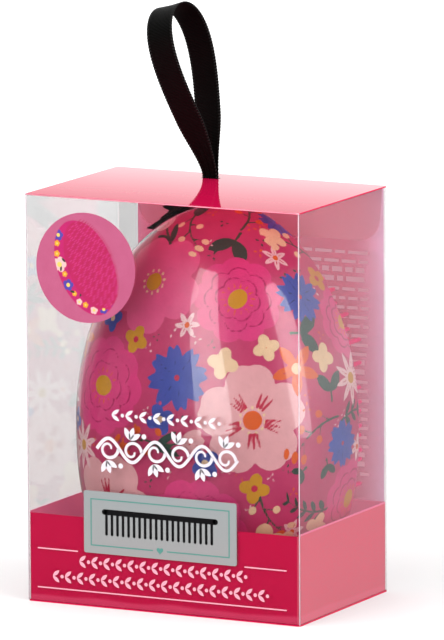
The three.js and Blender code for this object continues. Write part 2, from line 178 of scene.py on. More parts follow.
# %% Mixed colours
def mix_colours(tree, share, first, second):
    sockets = {0: share, 6: first, 7: second}
    return add_node(tree, "ShaderNodeMix", sockets, data_type="RGBA").outputs[2]


def speckle(tree, size, dark, light):
    """Two close colours mixed by a noise, since no real face is one even colour."""
    return mix_colours(tree, noise_field(tree, size), paint(dark), paint(light))


def tint(tree, colour, field, most, code):
    """Lays another colour over the first where a field is strong, up to the share given."""
    return mix_colours(tree, math_node(tree, "MULTIPLY", field, most), colour, paint(code))


def lay_colour(tree, shader, colour):
    tree.links.new(colour, shader.inputs["Base Color"])


def two_shades(name, dark, light, roughness, grain=0.4, **sockets):
    """A thin finish of two close shades, mixed by a noise of so many millimetres, for print and for painted
    highlights and glow.
    """
    finish, tree, shader = new_finish(name, paint(light), roughness, **sockets)
    lay_colour(tree, shader, speckle(tree, grain * MM, dark, light))
    return finish


print("crimson in linear light:", [round(share, 3) for share in paint("d4104f")[:3]])

# %% [markdown]
# ## Mesh helpers
# Blender's modelling operators need a selection and an editing mode. Plain lists of points and
# faces need neither, so every made piece goes through one helper. It takes points in metres and
# faces, smooths the shading, gives the piece its finish, and lets it ride on a CAD body.
# Most pieces here are rings of points, and three more helpers join such rings.

# %% Make a piece that rides on a body
def face_outward(data):
    work = bmesh.new()
    work.from_mesh(data)
    bmesh.ops.recalc_face_normals(work, faces=work.faces)
    work.to_mesh(data)
    work.free()


def new_piece(name, points, faces, finish, body=None, smooth=True):
    data = bpy.data.meshes.new(name)
    data.from_pydata([tuple(point) for point in points], [], [tuple(face) for face in faces])
    data.validate()
    face_outward(data)
    data.polygons.foreach_set("use_smooth", [smooth] * len(data.polygons))
    data.materials.append(finish)
    piece = bpy.data.objects.new(name, data)
    bpy.context.scene.collection.objects.link(piece)
    if body:
        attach(piece, body)
    return piece


def refinish(finish, *nodes):
    for node in nodes:
        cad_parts[node].material_slots[0].material = finish


print("CAD nodes that can be refinished:", len(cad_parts))

# %% Faces between rings of points
def stitch(ring, next_ring):
    """Four-cornered faces between two closed rings."""
    corners = (ring, np.roll(ring, -1), np.roll(next_ring, -1), next_ring)
    return np.stack(corners, axis=-1).tolist()


def side_faces(first, rings, sides):
    """The faces between rings that follow one another in the list of points."""
    numbers = first + np.arange(rings * sides).reshape(rings, sides)
    return [face for ring, above in zip(numbers, numbers[1:]) for face in stitch(ring, above)]


def closed_faces(first, rings, sides):
    """The same, with a cap on the first ring and on the last."""
    last = first + (rings - 1) * sides
    caps = [list(range(first, first + sides))[::-1], list(range(last, last + sides))]
    return side_faces(first, rings, sides) + caps


print("a box has", len(closed_faces(0, 2, 4)), "faces")

# %% [markdown]
# ## Studio
# The brush stands on a white floor in front of white. A picture of a studio could light it, but
# nodes can say what each kind of ray meets. Nothing near the front is as bright as the backdrop,
# so the gloss stays clear of haze: the world is white to the camera and behind the object, and
# dim to reflections that look the other way. The floor is part lit and part glowing, which keeps
# the object's soft shadow on a ground that is otherwise white. A share of its glow also falls on
# the object from below, as light from a white table does.

# %% World
DIFFUSE_LEVEL = 0.5
DIM_LEVEL = 0.06
BEHIND_WAY = 0.45
GROUND_BAND = (-0.08, 0.09)
SKY_BAND = (0.11, 0.24)
GROUND_GLOW = 0.32
HORIZON_GLOW = 1.4
SKY_GLOW = 0.6
WHITE = (1, 1, 1, 1)


def empty_tree(owner):
    """The node tree of a world or a material, cleared of the nodes it comes with."""
    owner.use_nodes = True
    owner.node_tree.nodes.clear()
    return owner.node_tree


def show_surface(tree, surface, output="ShaderNodeOutputMaterial"):
    tree.links.new(surface.outputs[0], add_node(tree, output).inputs["Surface"])


world = bpy.data.worlds.new("studio")
bpy.context.scene.world = world
sky = empty_tree(world)
ray = add_node(sky, "ShaderNodeLightPath").outputs
toward = place_parts(sky, "Generated")
behind = map_range(sky, toward["Y"], 0.0, BEHIND_WAY, DIM_LEVEL, 1.0)
below_glow = map_range(sky, toward["Z"], *GROUND_BAND, GROUND_GLOW, HORIZON_GLOW)
above_glow = map_range(sky, toward["Z"], *SKY_BAND, HORIZON_GLOW, SKY_GLOW)
horizon = math_node(sky, "MINIMUM", below_glow, above_glow)
backdrop = math_node(sky, "MULTIPLY", behind, horizon)
mirrored = math_node(sky, "MULTIPLY", ray["Is Glossy Ray"], backdrop)
seen = math_node(sky, "MAXIMUM", ray["Is Camera Ray"], ray["Is Transmission Ray"])
plain = math_node(sky, "MULTIPLY", ray["Is Diffuse Ray"], DIFFUSE_LEVEL)
strength = math_node(sky, "MAXIMUM", math_node(sky, "MAXIMUM", seen, mirrored), plain)
ground_light = add_node(sky, "ShaderNodeBackground", {"Color": WHITE, "Strength": strength})
show_surface(sky, ground_light, "ShaderNodeOutputWorld")
bpy.context.scene.view_settings.view_transform = "Standard"
print("world light", DIFFUSE_LEVEL)

# %% Floor
FLOOR_REACH = 4.0
FLOOR_SHADE = 0.6
NEAR_EDGE = 0.2
FAR_EDGE = 0.9
FLOOR_GLOW = 0.27
FAR_GLOW = 0.75
FLOOR_BOUNCE = 0.7

floor_finish = bpy.data.materials.new("white_floor")
tree = empty_tree(floor_finish)
lit = add_node(tree, "ShaderNodeBsdfDiffuse", {"Color": (FLOOR_SHADE, FLOOR_SHADE, FLOOR_SHADE, 1)})
place = add_node(tree, "ShaderNodeTexCoord").outputs["Object"]
away = add_node(tree, "ShaderNodeVectorMath", {0: place}, operation="LENGTH").outputs["Value"]
strength = map_range(tree, away, NEAR_EDGE, FAR_EDGE, FLOOR_GLOW, FAR_GLOW)
glow = add_node(tree, "ShaderNodeEmission", {"Color": WHITE, "Strength": strength})
ray = add_node(tree, "ShaderNodeLightPath").outputs
seen = math_node(tree, "MAXIMUM", ray["Is Camera Ray"], ray["Is Transmission Ray"])
bounce = math_node(tree, "MULTIPLY", ray["Is Diffuse Ray"], FLOOR_BOUNCE)
glow_share = math_node(tree, "MAXIMUM", seen, bounce)
no_glow = add_node(tree, "ShaderNodeEmission", {"Strength": 0.0})
glowing = add_node(tree, "ShaderNodeMixShader", {0: glow_share, 1: no_glow.outputs[0], 2: glow.outputs[0]})
floor_sum = add_node(tree, "ShaderNodeAddShader", {0: lit.outputs[0], 1: glowing.outputs[0]})
show_surface(tree, floor_sum)
floor_corners = [(x * FLOOR_REACH, y * FLOOR_REACH, 0) for x, y in ((-1, -1), (1, -1), (1, 1), (-1, 1))]
floor = new_piece("floor", floor_corners, [(0, 1, 2, 3)], floor_finish)
floor.visible_glossy = False
print("floor", 2 * FLOOR_REACH, "m wide")

# %% [markdown]
# ## Lamps
# Area lamps give soft shadows, as a studio's softboxes do, and points or suns would not. Five
# large ones give the plain light, and a small pink one under the lid stands for what shines
# through the lid's ink. The last one is seen by reflections alone, as a bright pane on the dome.
# Each is placed by a compass heading round the object and a height above the horizon.

# %% Softboxes
BRUSH_MIDDLE = Vector((0, 0, 55)) * MM
LID_LIGHT_SINK = 1.2 * MM
LID_LIGHT_COLOUR = (1.0, 0.42, 0.52)


def outward(heading, rise):
    """The direction from the brush at a compass heading and a height above the horizon."""
    turn, lift = math.radians(heading), math.radians(rise)
    return Vector((math.sin(turn) * math.cos(lift), -math.cos(turn) * math.cos(lift), math.sin(lift)))


def softbox(name, heading, rise, width, height, brightness, distance=1.5, gloss_only=True):
    """An area lamp by its heading and rise, its width and height as seen, all in degrees."""
    data = bpy.data.lights.new(name, "AREA")
    data.shape = "RECTANGLE"
    data.size = 2 * distance * math.tan(math.radians(width) / 2)
    data.size_y = 2 * distance * math.tan(math.radians(height) / 2)
    data.energy = brightness * math.pi * data.size * data.size_y
    lamp = bpy.data.objects.new(name, data)
    lamp.location = BRUSH_MIDDLE + outward(heading, rise) * distance
    lamp.rotation_euler = outward(heading, rise).to_track_quat("Z", "Y").to_euler()
    lamp.visible_camera = False
    if gloss_only:
        lamp.visible_diffuse = False
        lamp.visible_transmission = False
        lamp.visible_volume_scatter = False
    else:
        lamp.visible_glossy = False
    bpy.context.scene.collection.objects.link(lamp)
    return lamp


PLAIN_LAMPS = (
    ("key_lamp", -35, 42, 50, 45, 2.1),
    ("fill_lamp", 80, 20, 50, 40, 4.0),
    ("front_lamp", -5, 8, 40, 26, 2.7),
    ("top_lamp", 0, 85, 50, 50, 2.0),
    ("back_lamp", 195, 10, 60, 40, 1.3),
)
for lamp in PLAIN_LAMPS:
    softbox(*lamp, gloss_only=False)
lid_light = softbox("lid_light", 0, 90, 2.7, 1.8, 1.1, gloss_only=False)
lid_light.location = Vector((0, 0, LID_TOP - LID_LIGHT_SINK))
lid_light.data.color = LID_LIGHT_COLOUR
left_pane = softbox("left_pane", -130, -2, 26, 14, 0.8, distance=1.2)

# %% [markdown]
# ### Window panes
# The dome mirrors two tall windows, bent by its curve. An area lamp is a flat rectangle, and its
# mirror image ends at the wrong slant, so these two are glowing meshes instead. Each edge is a
# chain of headings and rises, and no ray but a mirrored one sees them.

# %% Glowing panes
PANE_DISTANCE = 3.0


def window_pane(name, left_edge, right_edge, brightness):
    """A glowing pane that only gloss sees, between two edges of (heading, rise) in degrees."""
    places = [BRUSH_MIDDLE + outward(*way) * PANE_DISTANCE for way in left_edge + right_edge]
    glow = bpy.data.materials.new(name)
    tree = empty_tree(glow)
    show_surface(tree, add_node(tree, "ShaderNodeEmission", {"Strength": brightness}))
    steps = len(left_edge)
    pane = new_piece(name, places, [(i, i + 1, steps + i + 1, steps + i) for i in range(steps - 1)], glow)
    for rays in ("camera", "diffuse", "transmission", "shadow", "volume_scatter"):
        setattr(pane, "visible_" + rays, False)
    return pane


tall_pane = window_pane(
    "tall_pane",
    ((-22, 64), (-20, 48), (-19, 34), (-16, 22), (-14, 10), (-13, -3)),
    ((1, 64), (5, 51), (5, 40), (5, 24), (8, 12), (12, -1)),
    7.6,
)
right_pane = window_pane(
    "right_pane",
    ((77, 51), (69, 39), (68, 29), (70, 18), (73, 6), (83, -9)),
    ((97, 48), (101, 40), (99, 30), (95, 14), (96, 1), (102, -10)),
    7.2,
)
print("panes at", PANE_DISTANCE, "m")

# %% [markdown]
# ## Clear film
# The carton is folded from clear plastic 0.35 mm thick. Seen straight on it almost vanishes, and
# at a slant it mirrors more and more. A metal-white mirror whose opacity follows that rule does
# it: Layer Weight's facing value is the same on both faces of a sheet, and its fifth power gives
# the usual curve of a reflection. A little waviness keeps the reflections from being perfect.

# %% Film finish
FILM_STRAIGHT = 0.13
FILM_WAVE = 0.004 * MM
WAVE_SIZE = 22 * MM

film, tree, shader = new_finish("clear_film", WHITE, 0.03, Metallic=1.0)
slant = add_node(tree, "ShaderNodeLayerWeight", {"Blend": 0.5}).outputs["Facing"]
mirror = math_node(tree, "MULTIPLY", math_node(tree, "POWER", slant, 5.0), 1 - FILM_STRAIGHT)
tree.links.new(math_node(tree, "ADD", mirror, FILM_STRAIGHT), shader.inputs["Alpha"])
add_relief(tree, shader, noise_field(tree, WAVE_SIZE), FILM_WAVE)
CLEAR_NODES = (
    "carton_front", "carton_back", "carton_left", "carton_right", "glue_flap",
    "dust_flap_left", "dust_flap_right", "bottom_dust_left", "bottom_dust_right",
)
refinish(film, *CLEAR_NODES)
print("clear sheets:", len(CLEAR_NODES))

# %% [markdown]
# ## Crimson film
# The lid and the foot are the same clear sheet with crimson ink on its inner side, so the gloss
# lies over the ink. Two sheets could show that, but faces that close together flicker, and one
# glossy crimson finish looks the same. A folded lid also bows a little. Its mesh is flat, so a
# relief that sinks with the square of the distance from its middle bends its reflections.

# %% Crimson lid and foot
LID_CROWN = 0.5  # how much the lid bows, in metres of sag for each square metre from its middle
LID_MIDDLE = (lid_low.y + lid_high.y) / 2


def crimson_finish(name, crown=0.0, waviness=1.0):
    finish, tree, shader = new_finish(name, paint("d4104f"), 0.05, IOR=1.5)
    shade = speckle(tree, 0.5 * MM, "cc0c46", "da144e")
    lay_colour(tree, shader, tint(tree, shade, noise_field(tree, 9 * MM), 0.35, "c40c48"))
    off_middle = math_node(tree, "SUBTRACT", place_parts(tree)["Y"], LID_MIDDLE)
    sag = math_node(tree, "MULTIPLY", math_node(tree, "MULTIPLY", off_middle, off_middle), -crown)
    wave = math_node(tree, "MULTIPLY", noise_field(tree, WAVE_SIZE), FILM_WAVE * waviness)
    add_relief(tree, shader, math_node(tree, "ADD", sag, wave), 1.0)
    return finish


refinish(crimson_finish("crimson_film"), "bottom_panel", "bottom_tuck_flap")
refinish(crimson_finish("bowed_lid", LID_CROWN, waviness=0.2), "lid_panel")
print("lid middle at", round(LID_MIDDLE / MM, 1), "mm")

# %% [markdown]
# ### Sheer tuck flap
# Light comes through the tuck flap's thin ink, so it looks much paler than the lid. Most of it is
# transmitted, at a low index of refraction, so that what lies behind it isn't bent.

# %% Sheer crimson
sheer, tree, shader = new_finish("sheer_crimson", paint("f4b4c8"), 0.08, IOR=1.12, Transmission_Weight=0.7)
lay_colour(tree, shader, speckle(tree, 8 * MM, "f4bece", "f8ccd8"))
refinish(sheer, "tuck_flap")
print("the tuck flap wears", sheer.name)

# %% [markdown]
# ### Print of the band
# The band round the foot is ink behind the film. It is painted paler on the right wall, as painted
# light for the light that comes in through the film's side, and along its ragged lowest edge, as a
# painted highlight. Both changes depend only on where a point lies, so two tints do it, with no
# picture and no further mesh.

# %% Band print
FOOT_HIGHLIGHT_EDGE = (0.9 * MM, 0.2 * MM)
RAGGED_DEPTH = 3 * MM
RIGHT_WALL_X = lid_high.x - 1 * MM

ink, tree, shader = new_finish("crimson_print", paint("c8084a"), 0.3, IOR=1.45, Specular_IOR_Level=0.2)
place = place_parts(tree)
# Painted light: a painted highlight along the ragged foot, and a paler print on the right wall.
ragged = math_node(tree, "MULTIPLY", noise_field(tree, 30 * MM), -RAGGED_DEPTH)
foot_highlight = map_range(tree, math_node(tree, "ADD", place["Z"], ragged), *FOOT_HIGHLIGHT_EDGE)
right_wall_painted_light = math_node(tree, "GREATER_THAN", place["X"], RIGHT_WALL_X)
shade = tint(tree, speckle(tree, 0.5 * MM, "ca0846", "d80c4e"), foot_highlight, 0.6, "e8507a")
lay_colour(tree, shader, tint(tree, shade, right_wall_painted_light, 0.5, "f0788c"))
refinish(ink, "base_band")
print("right wall from", round(RIGHT_WALL_X / MM, 2), "mm")

# %% [markdown]
# ## Back print
# The back wall carries thin lilac ink that light comes through, and it is paler towards the
# wall's ends. Most of the light is transmitted, and the distance from the middle fades the ink.

# %% Lilac ink
FADE_START = 27 * MM

back_low, back_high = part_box("back_print")
lilac, tree, shader = new_finish("lilac_print", paint("e89cb4"), 0.08, IOR=1.12, Transmission_Weight=0.75)
from_middle = math_node(tree, "ABSOLUTE", place_parts(tree)["X"])
fade = math_node(tree, "POWER", map_range(tree, from_middle, FADE_START, back_high.x), 2.0)
shade = speckle(tree, 0.6 * MM, "de6e8c", "e67e9a")
lay_colour(tree, shader, mix_colours(tree, fade, shade, paint("f6c8e2")))
refinish(lilac, "back_print")
print("back print", round((back_high.x - back_low.x) / MM, 1), "mm wide")

# %% [markdown]
# ## Egg shape of the brush
# Seen from the front the brush is an egg: two half superellipses that meet at its widest line,
# the toe above and the heel below. The dome rises from that outline to its peak on a third
# superellipse, and the peak lies nearer the heel, where the palm is. A sculpted egg would stand
# off the CAD model by chance amounts, and these formulas match it everywhere. Any point of the
# dome is then given by a direction round the egg and by a lift from the rim to the peak.

# %% Points of the egg
TOE_SHARE = 55.8 / 103.8
TOE_POWER = 1.95
HEEL_POWER = 2.75
DOME_POWER = 2.5
PALM_SWELL = 18 * MM

HALF_WIDTH = (shell_high.x - shell_low.x) / 2
DOME_DEPTH = shell_high.y - shell_low.y
RIM_Y = shell_high.y
TOE_LENGTH = (shell_high.z - shell_low.z) * TOE_SHARE
HEEL_LENGTH = (shell_high.z - shell_low.z) * (1 - TOE_SHARE)
WIDEST_Z = shell_high.z - TOE_LENGTH


def bend(values, power):
    return np.sign(values) * np.abs(values) ** (2 / power)


def egg_outline(turn, inset=0.0):
    rise = np.sin(turn)
    power = np.where(rise > 0, TOE_POWER, HEEL_POWER)
    length = np.where(rise > 0, TOE_LENGTH, HEEL_LENGTH) - inset
    return (HALF_WIDTH - inset) * bend(np.cos(turn), power), length * bend(rise, power)


def dome_points(turn, shrink, depth, inset=0.0):
    """Points of the dome: shrink draws the outline towards the peak, and depth lifts it."""
    across, up = egg_outline(turn, inset)
    height = WIDEST_Z + up * shrink - PALM_SWELL * (1 - shrink)
    return np.stack(np.broadcast_arrays(across * shrink, RIM_Y - depth, height), axis=-1)


print("egg", round(2 * HALF_WIDTH / MM, 1), "x", round((TOE_LENGTH + HEEL_LENGTH) / MM, 1), "mm")

# %% [markdown]
# ## Shell
# The print on the dome needs a mesh that is equally fine everywhere. Rings and spokes would crowd
# at the peak, so a square grid is bent into a disc instead, and the distance from the disc's
# middle becomes the distance walked from the peak to the rim. The rim is then rolled over, and
# an inner wall with the ledge for the bristle bed closes the shell.

# %% From the peak to the rim
PROFILE_STEPS = 600

lift = np.linspace(0, math.pi / 2, PROFILE_STEPS)
profile_shrink = np.cos(lift) ** (2 / DOME_POWER)
profile_depth = np.sin(lift) ** (2 / DOME_POWER)
mean_radius = (HALF_WIDTH + TOE_LENGTH) / 2
steps = np.hypot(np.diff(profile_shrink) * mean_radius, np.diff(profile_depth) * DOME_DEPTH)
walked = np.concatenate([[0], np.cumsum(steps)]) / steps.sum()


def dome_at(turn, reach, inset=0.0):
    """Dome points a share of the way from the peak (reach 0) to the rim (reach 1)."""
    shrink = np.interp(1 - reach, walked, profile_shrink)
    depth = np.interp(1 - reach, walked, profile_depth) * (DOME_DEPTH - inset)
    return dome_points(turn, shrink, depth, inset)


print("peak to rim", round(float(steps.sum()) / MM, 1), "mm")

# %% Dome grid
GRID = 268


def disc_grid(size):
    """A square grid bent into a disc: its X and Y, its faces and the numbers of its edge."""
    side = np.linspace(-1, 1, size)
    grid_x, grid_y = np.meshgrid(side, side, indexing="ij")
    disc_x = grid_x * np.sqrt(1 - grid_y ** 2 / 2)
    disc_y = grid_y * np.sqrt(1 - grid_x ** 2 / 2)
    number = np.arange(size * size).reshape(size, size)
    corners = (number[:-1, :-1], number[1:, :-1], number[1:, 1:], number[:-1, 1:])
    faces = np.stack(corners, axis=-1).reshape(-1, 4).tolist()
    edge = np.concatenate([number[0, :-1], number[:-1, -1], number[-1, :0:-1], number[:0:-1, 0]])
    return disc_x.reshape(-1), disc_y.reshape(-1), faces, edge


disc_x, disc_y, shell_faces, edge = disc_grid(GRID)
turn = np.arctan2(disc_y, disc_x)
outer_points = dome_at(turn, np.minimum(np.hypot(disc_x, disc_y), 1))
gaps = np.linalg.norm(np.diff(outer_points.reshape(GRID, GRID, 3), axis=0), axis=-1)
print("dome grid spacing up to", round(float(gaps.max()) / MM, 2), "mm")

# %% Rim, ledge and inner wall
RIM_WALL = 1.1 * MM
SHELL_WALL = 2.2 * MM
LEDGE_DEPTH = 2.4 * MM
RIM_PROFILE = ((0.1, 0.12), (0.35, 0.2), (0.75, 0.2), (1.0, 0.12), (1.1, 0.0))  # inset and rise in mm
INNER_REACH = (0.88, 0.72, 0.5, 0.25, 0.08)

edge_turn = turn[edge]
rings = [dome_points(edge_turn, 1.0, -rise * MM, inset * MM) for inset, rise in RIM_PROFILE]
rings += [dome_points(edge_turn, 1.0, LEDGE_DEPTH, inset) for inset in (RIM_WALL, SHELL_WALL)]
rings += [dome_at(edge_turn, share, SHELL_WALL) for share in INNER_REACH]
shell_points = np.concatenate([outer_points, *rings, dome_at(np.zeros(1), 0.0, SHELL_WALL)])
first, count, peak = len(outer_points), len(edge), len(shell_points) - 1
shell_faces += stitch(edge, first + np.arange(count)) + side_faces(first, len(rings), count)
last_ring = np.arange(peak - count, peak)
shell_faces += [(a, peak, b) for a, b in zip(last_ring, np.roll(last_ring, -1))]
print("shell", len(shell_points), "points,", len(shell_faces), "faces")

# %% [markdown]
# ## Printing on a dome
# The shell's print is a garden of flat, hand-painted looking flowers. It could be a picture, but
# a picture blurs close up. Here each ink is a field over the grid instead: at every point, how
# many millimetres it lies inside the nearest shape in that ink. The finish cuts each field at
# zero, so the edges stay crisp between the points, and a little noise makes them look brushed.

# %% Inks, from the bottom layer to the top
INKS = {
    "stem": "36523f",
    "leaf": "2f4a40",
    "hot": "de3a7e",
    "plum": "a80e56",
    "rose": "e25488",
    "pale": "eaaaae",
    "light": "ecc2c4",
    "blue": "3e4ea8",
    "navy": "1b2462",
    "orange": "e25e18",
    "gold": "ce921a",
    "cream": "eecaa0",
    "red": "c41a44",
}
FAR_OUTSIDE = -9.0
print("inks:", ", ".join(INKS))

# %% The dome as a skin to draw on
skin = outer_points / MM
skin_grid = skin.reshape(GRID, GRID, 3)
skin_facing = np.cross(np.gradient(skin_grid, axis=0), np.gradient(skin_grid, axis=1)).reshape(-1, 3)
skin_facing /= np.linalg.norm(skin_facing, axis=1, keepdims=True) + 1e-9
if skin_facing[len(skin) // 2][1] > 0:
    skin_facing = -skin_facing
fields = {name: np.full(len(skin), FAR_OUTSIDE) for name in INKS}
print("points of the skin:", len(skin))

# %% Patches and stamps
SAME_SIDE = 0.1


def turned(x, y, angle):
    """The same places, measured along axes turned by an angle."""
    return x * math.cos(angle) + y * math.sin(angle), y * math.cos(angle) - x * math.sin(angle)


def patch(place, size, angle=0.0):
    """The grid points round a place, and where they lie on the skin when it is laid flat there."""
    offset = skin - skin[place]
    distance = np.linalg.norm(offset, axis=1)
    near = np.nonzero((distance < size) & (skin_facing @ skin_facing[place] > SAME_SIDE))[0]
    up = np.array([0, 0, 1.0]) - skin_facing[place] * skin_facing[place][2]
    up /= np.linalg.norm(up) + 1e-9
    right = np.cross(up, skin_facing[place])
    x, y = offset[near] @ right, offset[near] @ up
    stretch = distance[near] / np.maximum(np.hypot(x, y), 1e-6)
    return near, *turned(x * stretch, y * stretch, angle)


def stamp(ink, near, inside):
    """Adds a shape to an ink, which keeps whichever is deeper inside, the old or the new."""
    fields[ink][near] = np.maximum(fields[ink][near], inside)


print("points within 5 mm of the middle:", len(patch(len(skin) // 2, 5.0)[0]))

# %% [markdown]
# ### Shapes of the print
# Petals and leaves were painted with a loaded brush, so their outlines are plain and rounded.
# Such shapes are short formulas, and each one says how far inside its edge a place lies.

# %% Flat shapes, each as millimetres inside its edge
def disc(x, y, radius):
    return radius - np.hypot(x, y)


def oval(x, y, half_long, half_wide):
    return (1 - np.hypot(x / half_long, y / half_wide)) * min(half_long, half_wide)


def pointed_leaf(x, y, length, width):
    """A leaf from the origin along X: where two discs overlap."""
    bow = (length ** 2 + width ** 2) / (4 * width)
    return bow - np.hypot(x - length / 2, np.abs(y) + bow - width / 2)


def line(x, y, start, end, start_width, end_width=None):
    along = np.subtract(end, start)
    share = np.clip(((x - start[0]) * along[0] + (y - start[1]) * along[1]) / (along @ along), 0, 1)
    width = start_width + ((end_width or start_width) - start_width) * share
    return width / 2 - np.hypot(x - start[0] - share * along[0], y - start[1] - share * along[1])


def scallops(x, y, radius, lobes, notch):
    wave = np.abs(np.cos(np.arctan2(y, x) * lobes / 2)) ** 0.6
    return radius * (1 - notch + notch * wave) - np.hypot(x, y)


def heart_petal(x, y, length, width):
    sides = [oval(*turned(x - 0.6 * length, y - side * 0.26 * width, side * 0.3), 0.42 * length, 0.32 * width)
             for side in (-1, 1)]
    return np.maximum.reduce([*sides, pointed_leaf(x, y, 0.85 * length, 0.62 * width)])

print("a leaf 10 mm long and 4 mm wide is", pointed_leaf(5, 0, 10, 4), "mm deep at its middle")

# %% [markdown]
# ### Flowers
# Each kind of flower is one petal, turned round the middle as often as it has petals, with veins
# and an eye stamped over it in later inks. A function for each kind lets it be planted anywhere,
# at any size and in other inks.

# %% Flowers
def around(x, y, count):
    """The same places, as seen from each of so many petals in turn."""
    for i in range(count):
        yield turned(x, y, i * math.tau / count)


def heart_blossom(place, radius, angle, petal="pale", vein="red", eye="orange"):
    near, x, y = patch(place, radius * 1.15, angle)
    for px, py in around(x, y, 5):
        stamp(petal, near, heart_petal(px, py, radius, radius * 1.18))
        for tilt in (-0.22, 0, 0.22):
            end = (radius * 0.56 * math.cos(tilt), radius * 0.56 * math.sin(tilt))
            start = (end[0] * 0.5, end[1] * 0.5)
            stamp(vein, near, line(px, py, start, end, 0.8, 0.5))
    stamp(eye, near, disc(x, y, radius * 0.19))
    for dx, dy in around(x, y, 11):
        stamp("cream", near, disc(dx - radius * 0.25, dy, radius * 0.035))


def peony(place, radius, angle, petal="hot", fold="plum", eye="gold"):
    near, x, y = patch(place, radius * 1.1, angle)
    stamp(petal, near, scallops(x, y, radius, 9, 0.13))
    for layer, lobes in ((0.74, 8), (0.5, 6)):
        px, py = turned(x, y, layer * 4)
        stamp(fold, near, 0.24 - np.abs(scallops(px, py, radius * layer, lobes, 0.2)))
    stamp(eye, near, oval(x, y, radius * 0.24, radius * 0.2))
    for px, py in around(x, y, 14):
        stamp("orange", near, line(px, py, (radius * 0.28, 0), (radius * 0.38, 0), 0.5, 0.3))


def cornflower(place, radius, angle, petal="blue", vein="navy", eye="light"):
    near, x, y = patch(place, radius * 1.1, angle)
    for px, py in around(x, y, 8):
        halves = (pointed_leaf(*turned(px, py, tilt), radius, radius * 0.36) for tilt in (-0.13, 0.13))
        stamp(petal, near, np.maximum(*halves))
        stamp(vein, near, line(px, py, (radius * 0.3, 0), (radius * 0.66, 0), 0.35, 0.2))
    stamp(petal, near, disc(x, y, radius * 0.4))
    stamp(eye, near, disc(x, y, radius * 0.2))
    stamp("red", near, disc(x, y, radius * 0.09))


def star_flower(place, radius, angle, petal="orange", vein="red", eye="cream", petals=5):
    near, x, y = patch(place, radius * 1.1, angle)
    for px, py in around(x, y, petals):
        stamp(petal, near, pointed_leaf(px, py, radius, radius * 2.1 / petals))
        stamp(vein, near, line(px, py, (radius * 0.3, 0), (radius * 0.62, 0), 0.3, 0.2))
    stamp(eye, near, disc(x, y, radius * 0.2))


def four_petals(place, radius, angle, petal="cream", eye="orange"):
    near, x, y = patch(place, radius * 1.1, angle)
    for px, py in around(x, y, 4):
        stamp(petal, near, oval(px - radius * 0.5, py, radius * 0.48, radius * 0.4))
    stamp(eye, near, disc(x, y, radius * 0.22))


def tulip(place, size, angle, petal="orange", fold="red"):
    near, x, y = patch(place, size * 1.6, angle)
    stamp("stem", near, line(x, y, (-size * 1.35, size * 0.12), (0, 0), 0.9, 0.7))
    for side in (-1, 1):
        lx, ly = turned(x + size * 1.2, y, side * 0.42)
        stamp("leaf", near, pointed_leaf(lx, ly, size * 1.15, size * 0.3))
        stamp(petal, near, pointed_leaf(*turned(x + size * 0.06, y, side * 0.36), size, size * 0.5))
    stamp(petal, near, pointed_leaf(x, y, size * 0.95, size * 0.5))
    stamp(petal, near, oval(x - size * 0.3, y, size * 0.34, size * 0.36))
    for side in (-1, 1):
        start, end = (size * 0.2, side * size * 0.06), (size * 0.62, side * size * 0.15)
        stamp(fold, near, line(x, y, start, end, 0.35, 0.2))


FLOWERS = (heart_blossom, peony, cornflower, star_flower, four_petals, tulip)
print("flowers:", ", ".join(flower.__name__ for flower in FLOWERS))

# %% [markdown]
# ### Greenery
# Dark sprigs, leaves and seeds hold the flowers together. They are stems with leaves or berries
# set along them, and a stem's bow comes from shifting every place by a parabola first.

# %% Greenery
def fern(place, length, angle, pairs=5):
    near, x, y = patch(place, length, angle)
    bow = 0.12 * length * (1 - (2 * x / length) ** 2)
    y = y - bow
    stamp("stem", near, line(x, y, (-length / 2, 0), (length / 2, 0), 0.8, 0.35))
    for i in range(pairs):
        share = (i + 0.6) / pairs
        size = length * 0.26 * (1.15 - share * 0.6)
        for side in (-1, 1):
            lx, ly = turned(x + length / 2 - share * length, y, side * 0.85)
            stamp("leaf", near, pointed_leaf(lx, ly, size, size * 0.36))


def leaf_pair(place, length, angle):
    near, x, y = patch(place, length * 1.3, angle)
    for side in (-1, 1):
        lx, ly = turned(x, y, side * 0.75)
        stamp("leaf", near, pointed_leaf(lx, ly, length, length * 0.5))
    stamp("stem", near, line(x, y, (-length * 0.4, 0), (length * 0.3, 0), 0.8, 0.4))


def berry_sprig(place, length, angle, berry="cream"):
    near, x, y = patch(place, length, angle)
    y = y + 0.14 * length * (1 - (2 * x / length) ** 2)
    stamp("stem", near, line(x, y, (-length / 2, 0), (length / 2, 0), 0.75, 0.4))
    for i in range(5):
        share = -0.3 + 0.19 * i
        side = 1 if i % 2 else -1
        end = ((share + 0.12) * length, side * 0.17 * length)
        stamp("stem", near, line(x, y, (share * length, 0), end, 0.5, 0.4))
        stamp(berry, near, disc(x - end[0], y - end[1], 0.062 * length))
    stamp(berry, near, disc(x - length / 2, y, 0.07 * length))


def seeds(place, size, angle, ink="light"):
    near, x, y = patch(place, size * 1.3, angle)
    for px, py in around(x, y, 3):
        stamp(ink, near, pointed_leaf(px - size * 0.2, py, size * 0.6, size * 0.3))

print("greenery:", ", ".join(motif.__name__ for motif in (fern, leaf_pair, berry_sprig, seeds)))

# %% [markdown]
# ### Layout of the print
# The largest flowers are listed one by one, as a designer would place them: across the brush as a
# share of its half width, and up as a share of its height. Smaller flowers and greenery then fill the
# ground. They are dropped at random, from a fixed seed, wherever they keep their distance.

# %% Large flowers one by one
taken_places = []
taken_sizes = []


def spot(across, up):
    """The grid point nearest to shares of the brush's half width and height."""
    aim = np.array([across * HALF_WIDTH, shell_low.z + up * (shell_high.z - shell_low.z)]) / MM
    return int(np.argmin(((skin[:, [0, 2]] - aim) ** 2).sum(axis=1)))


def take(place, size):
    taken_places.append(skin[place])
    taken_sizes.append(size)


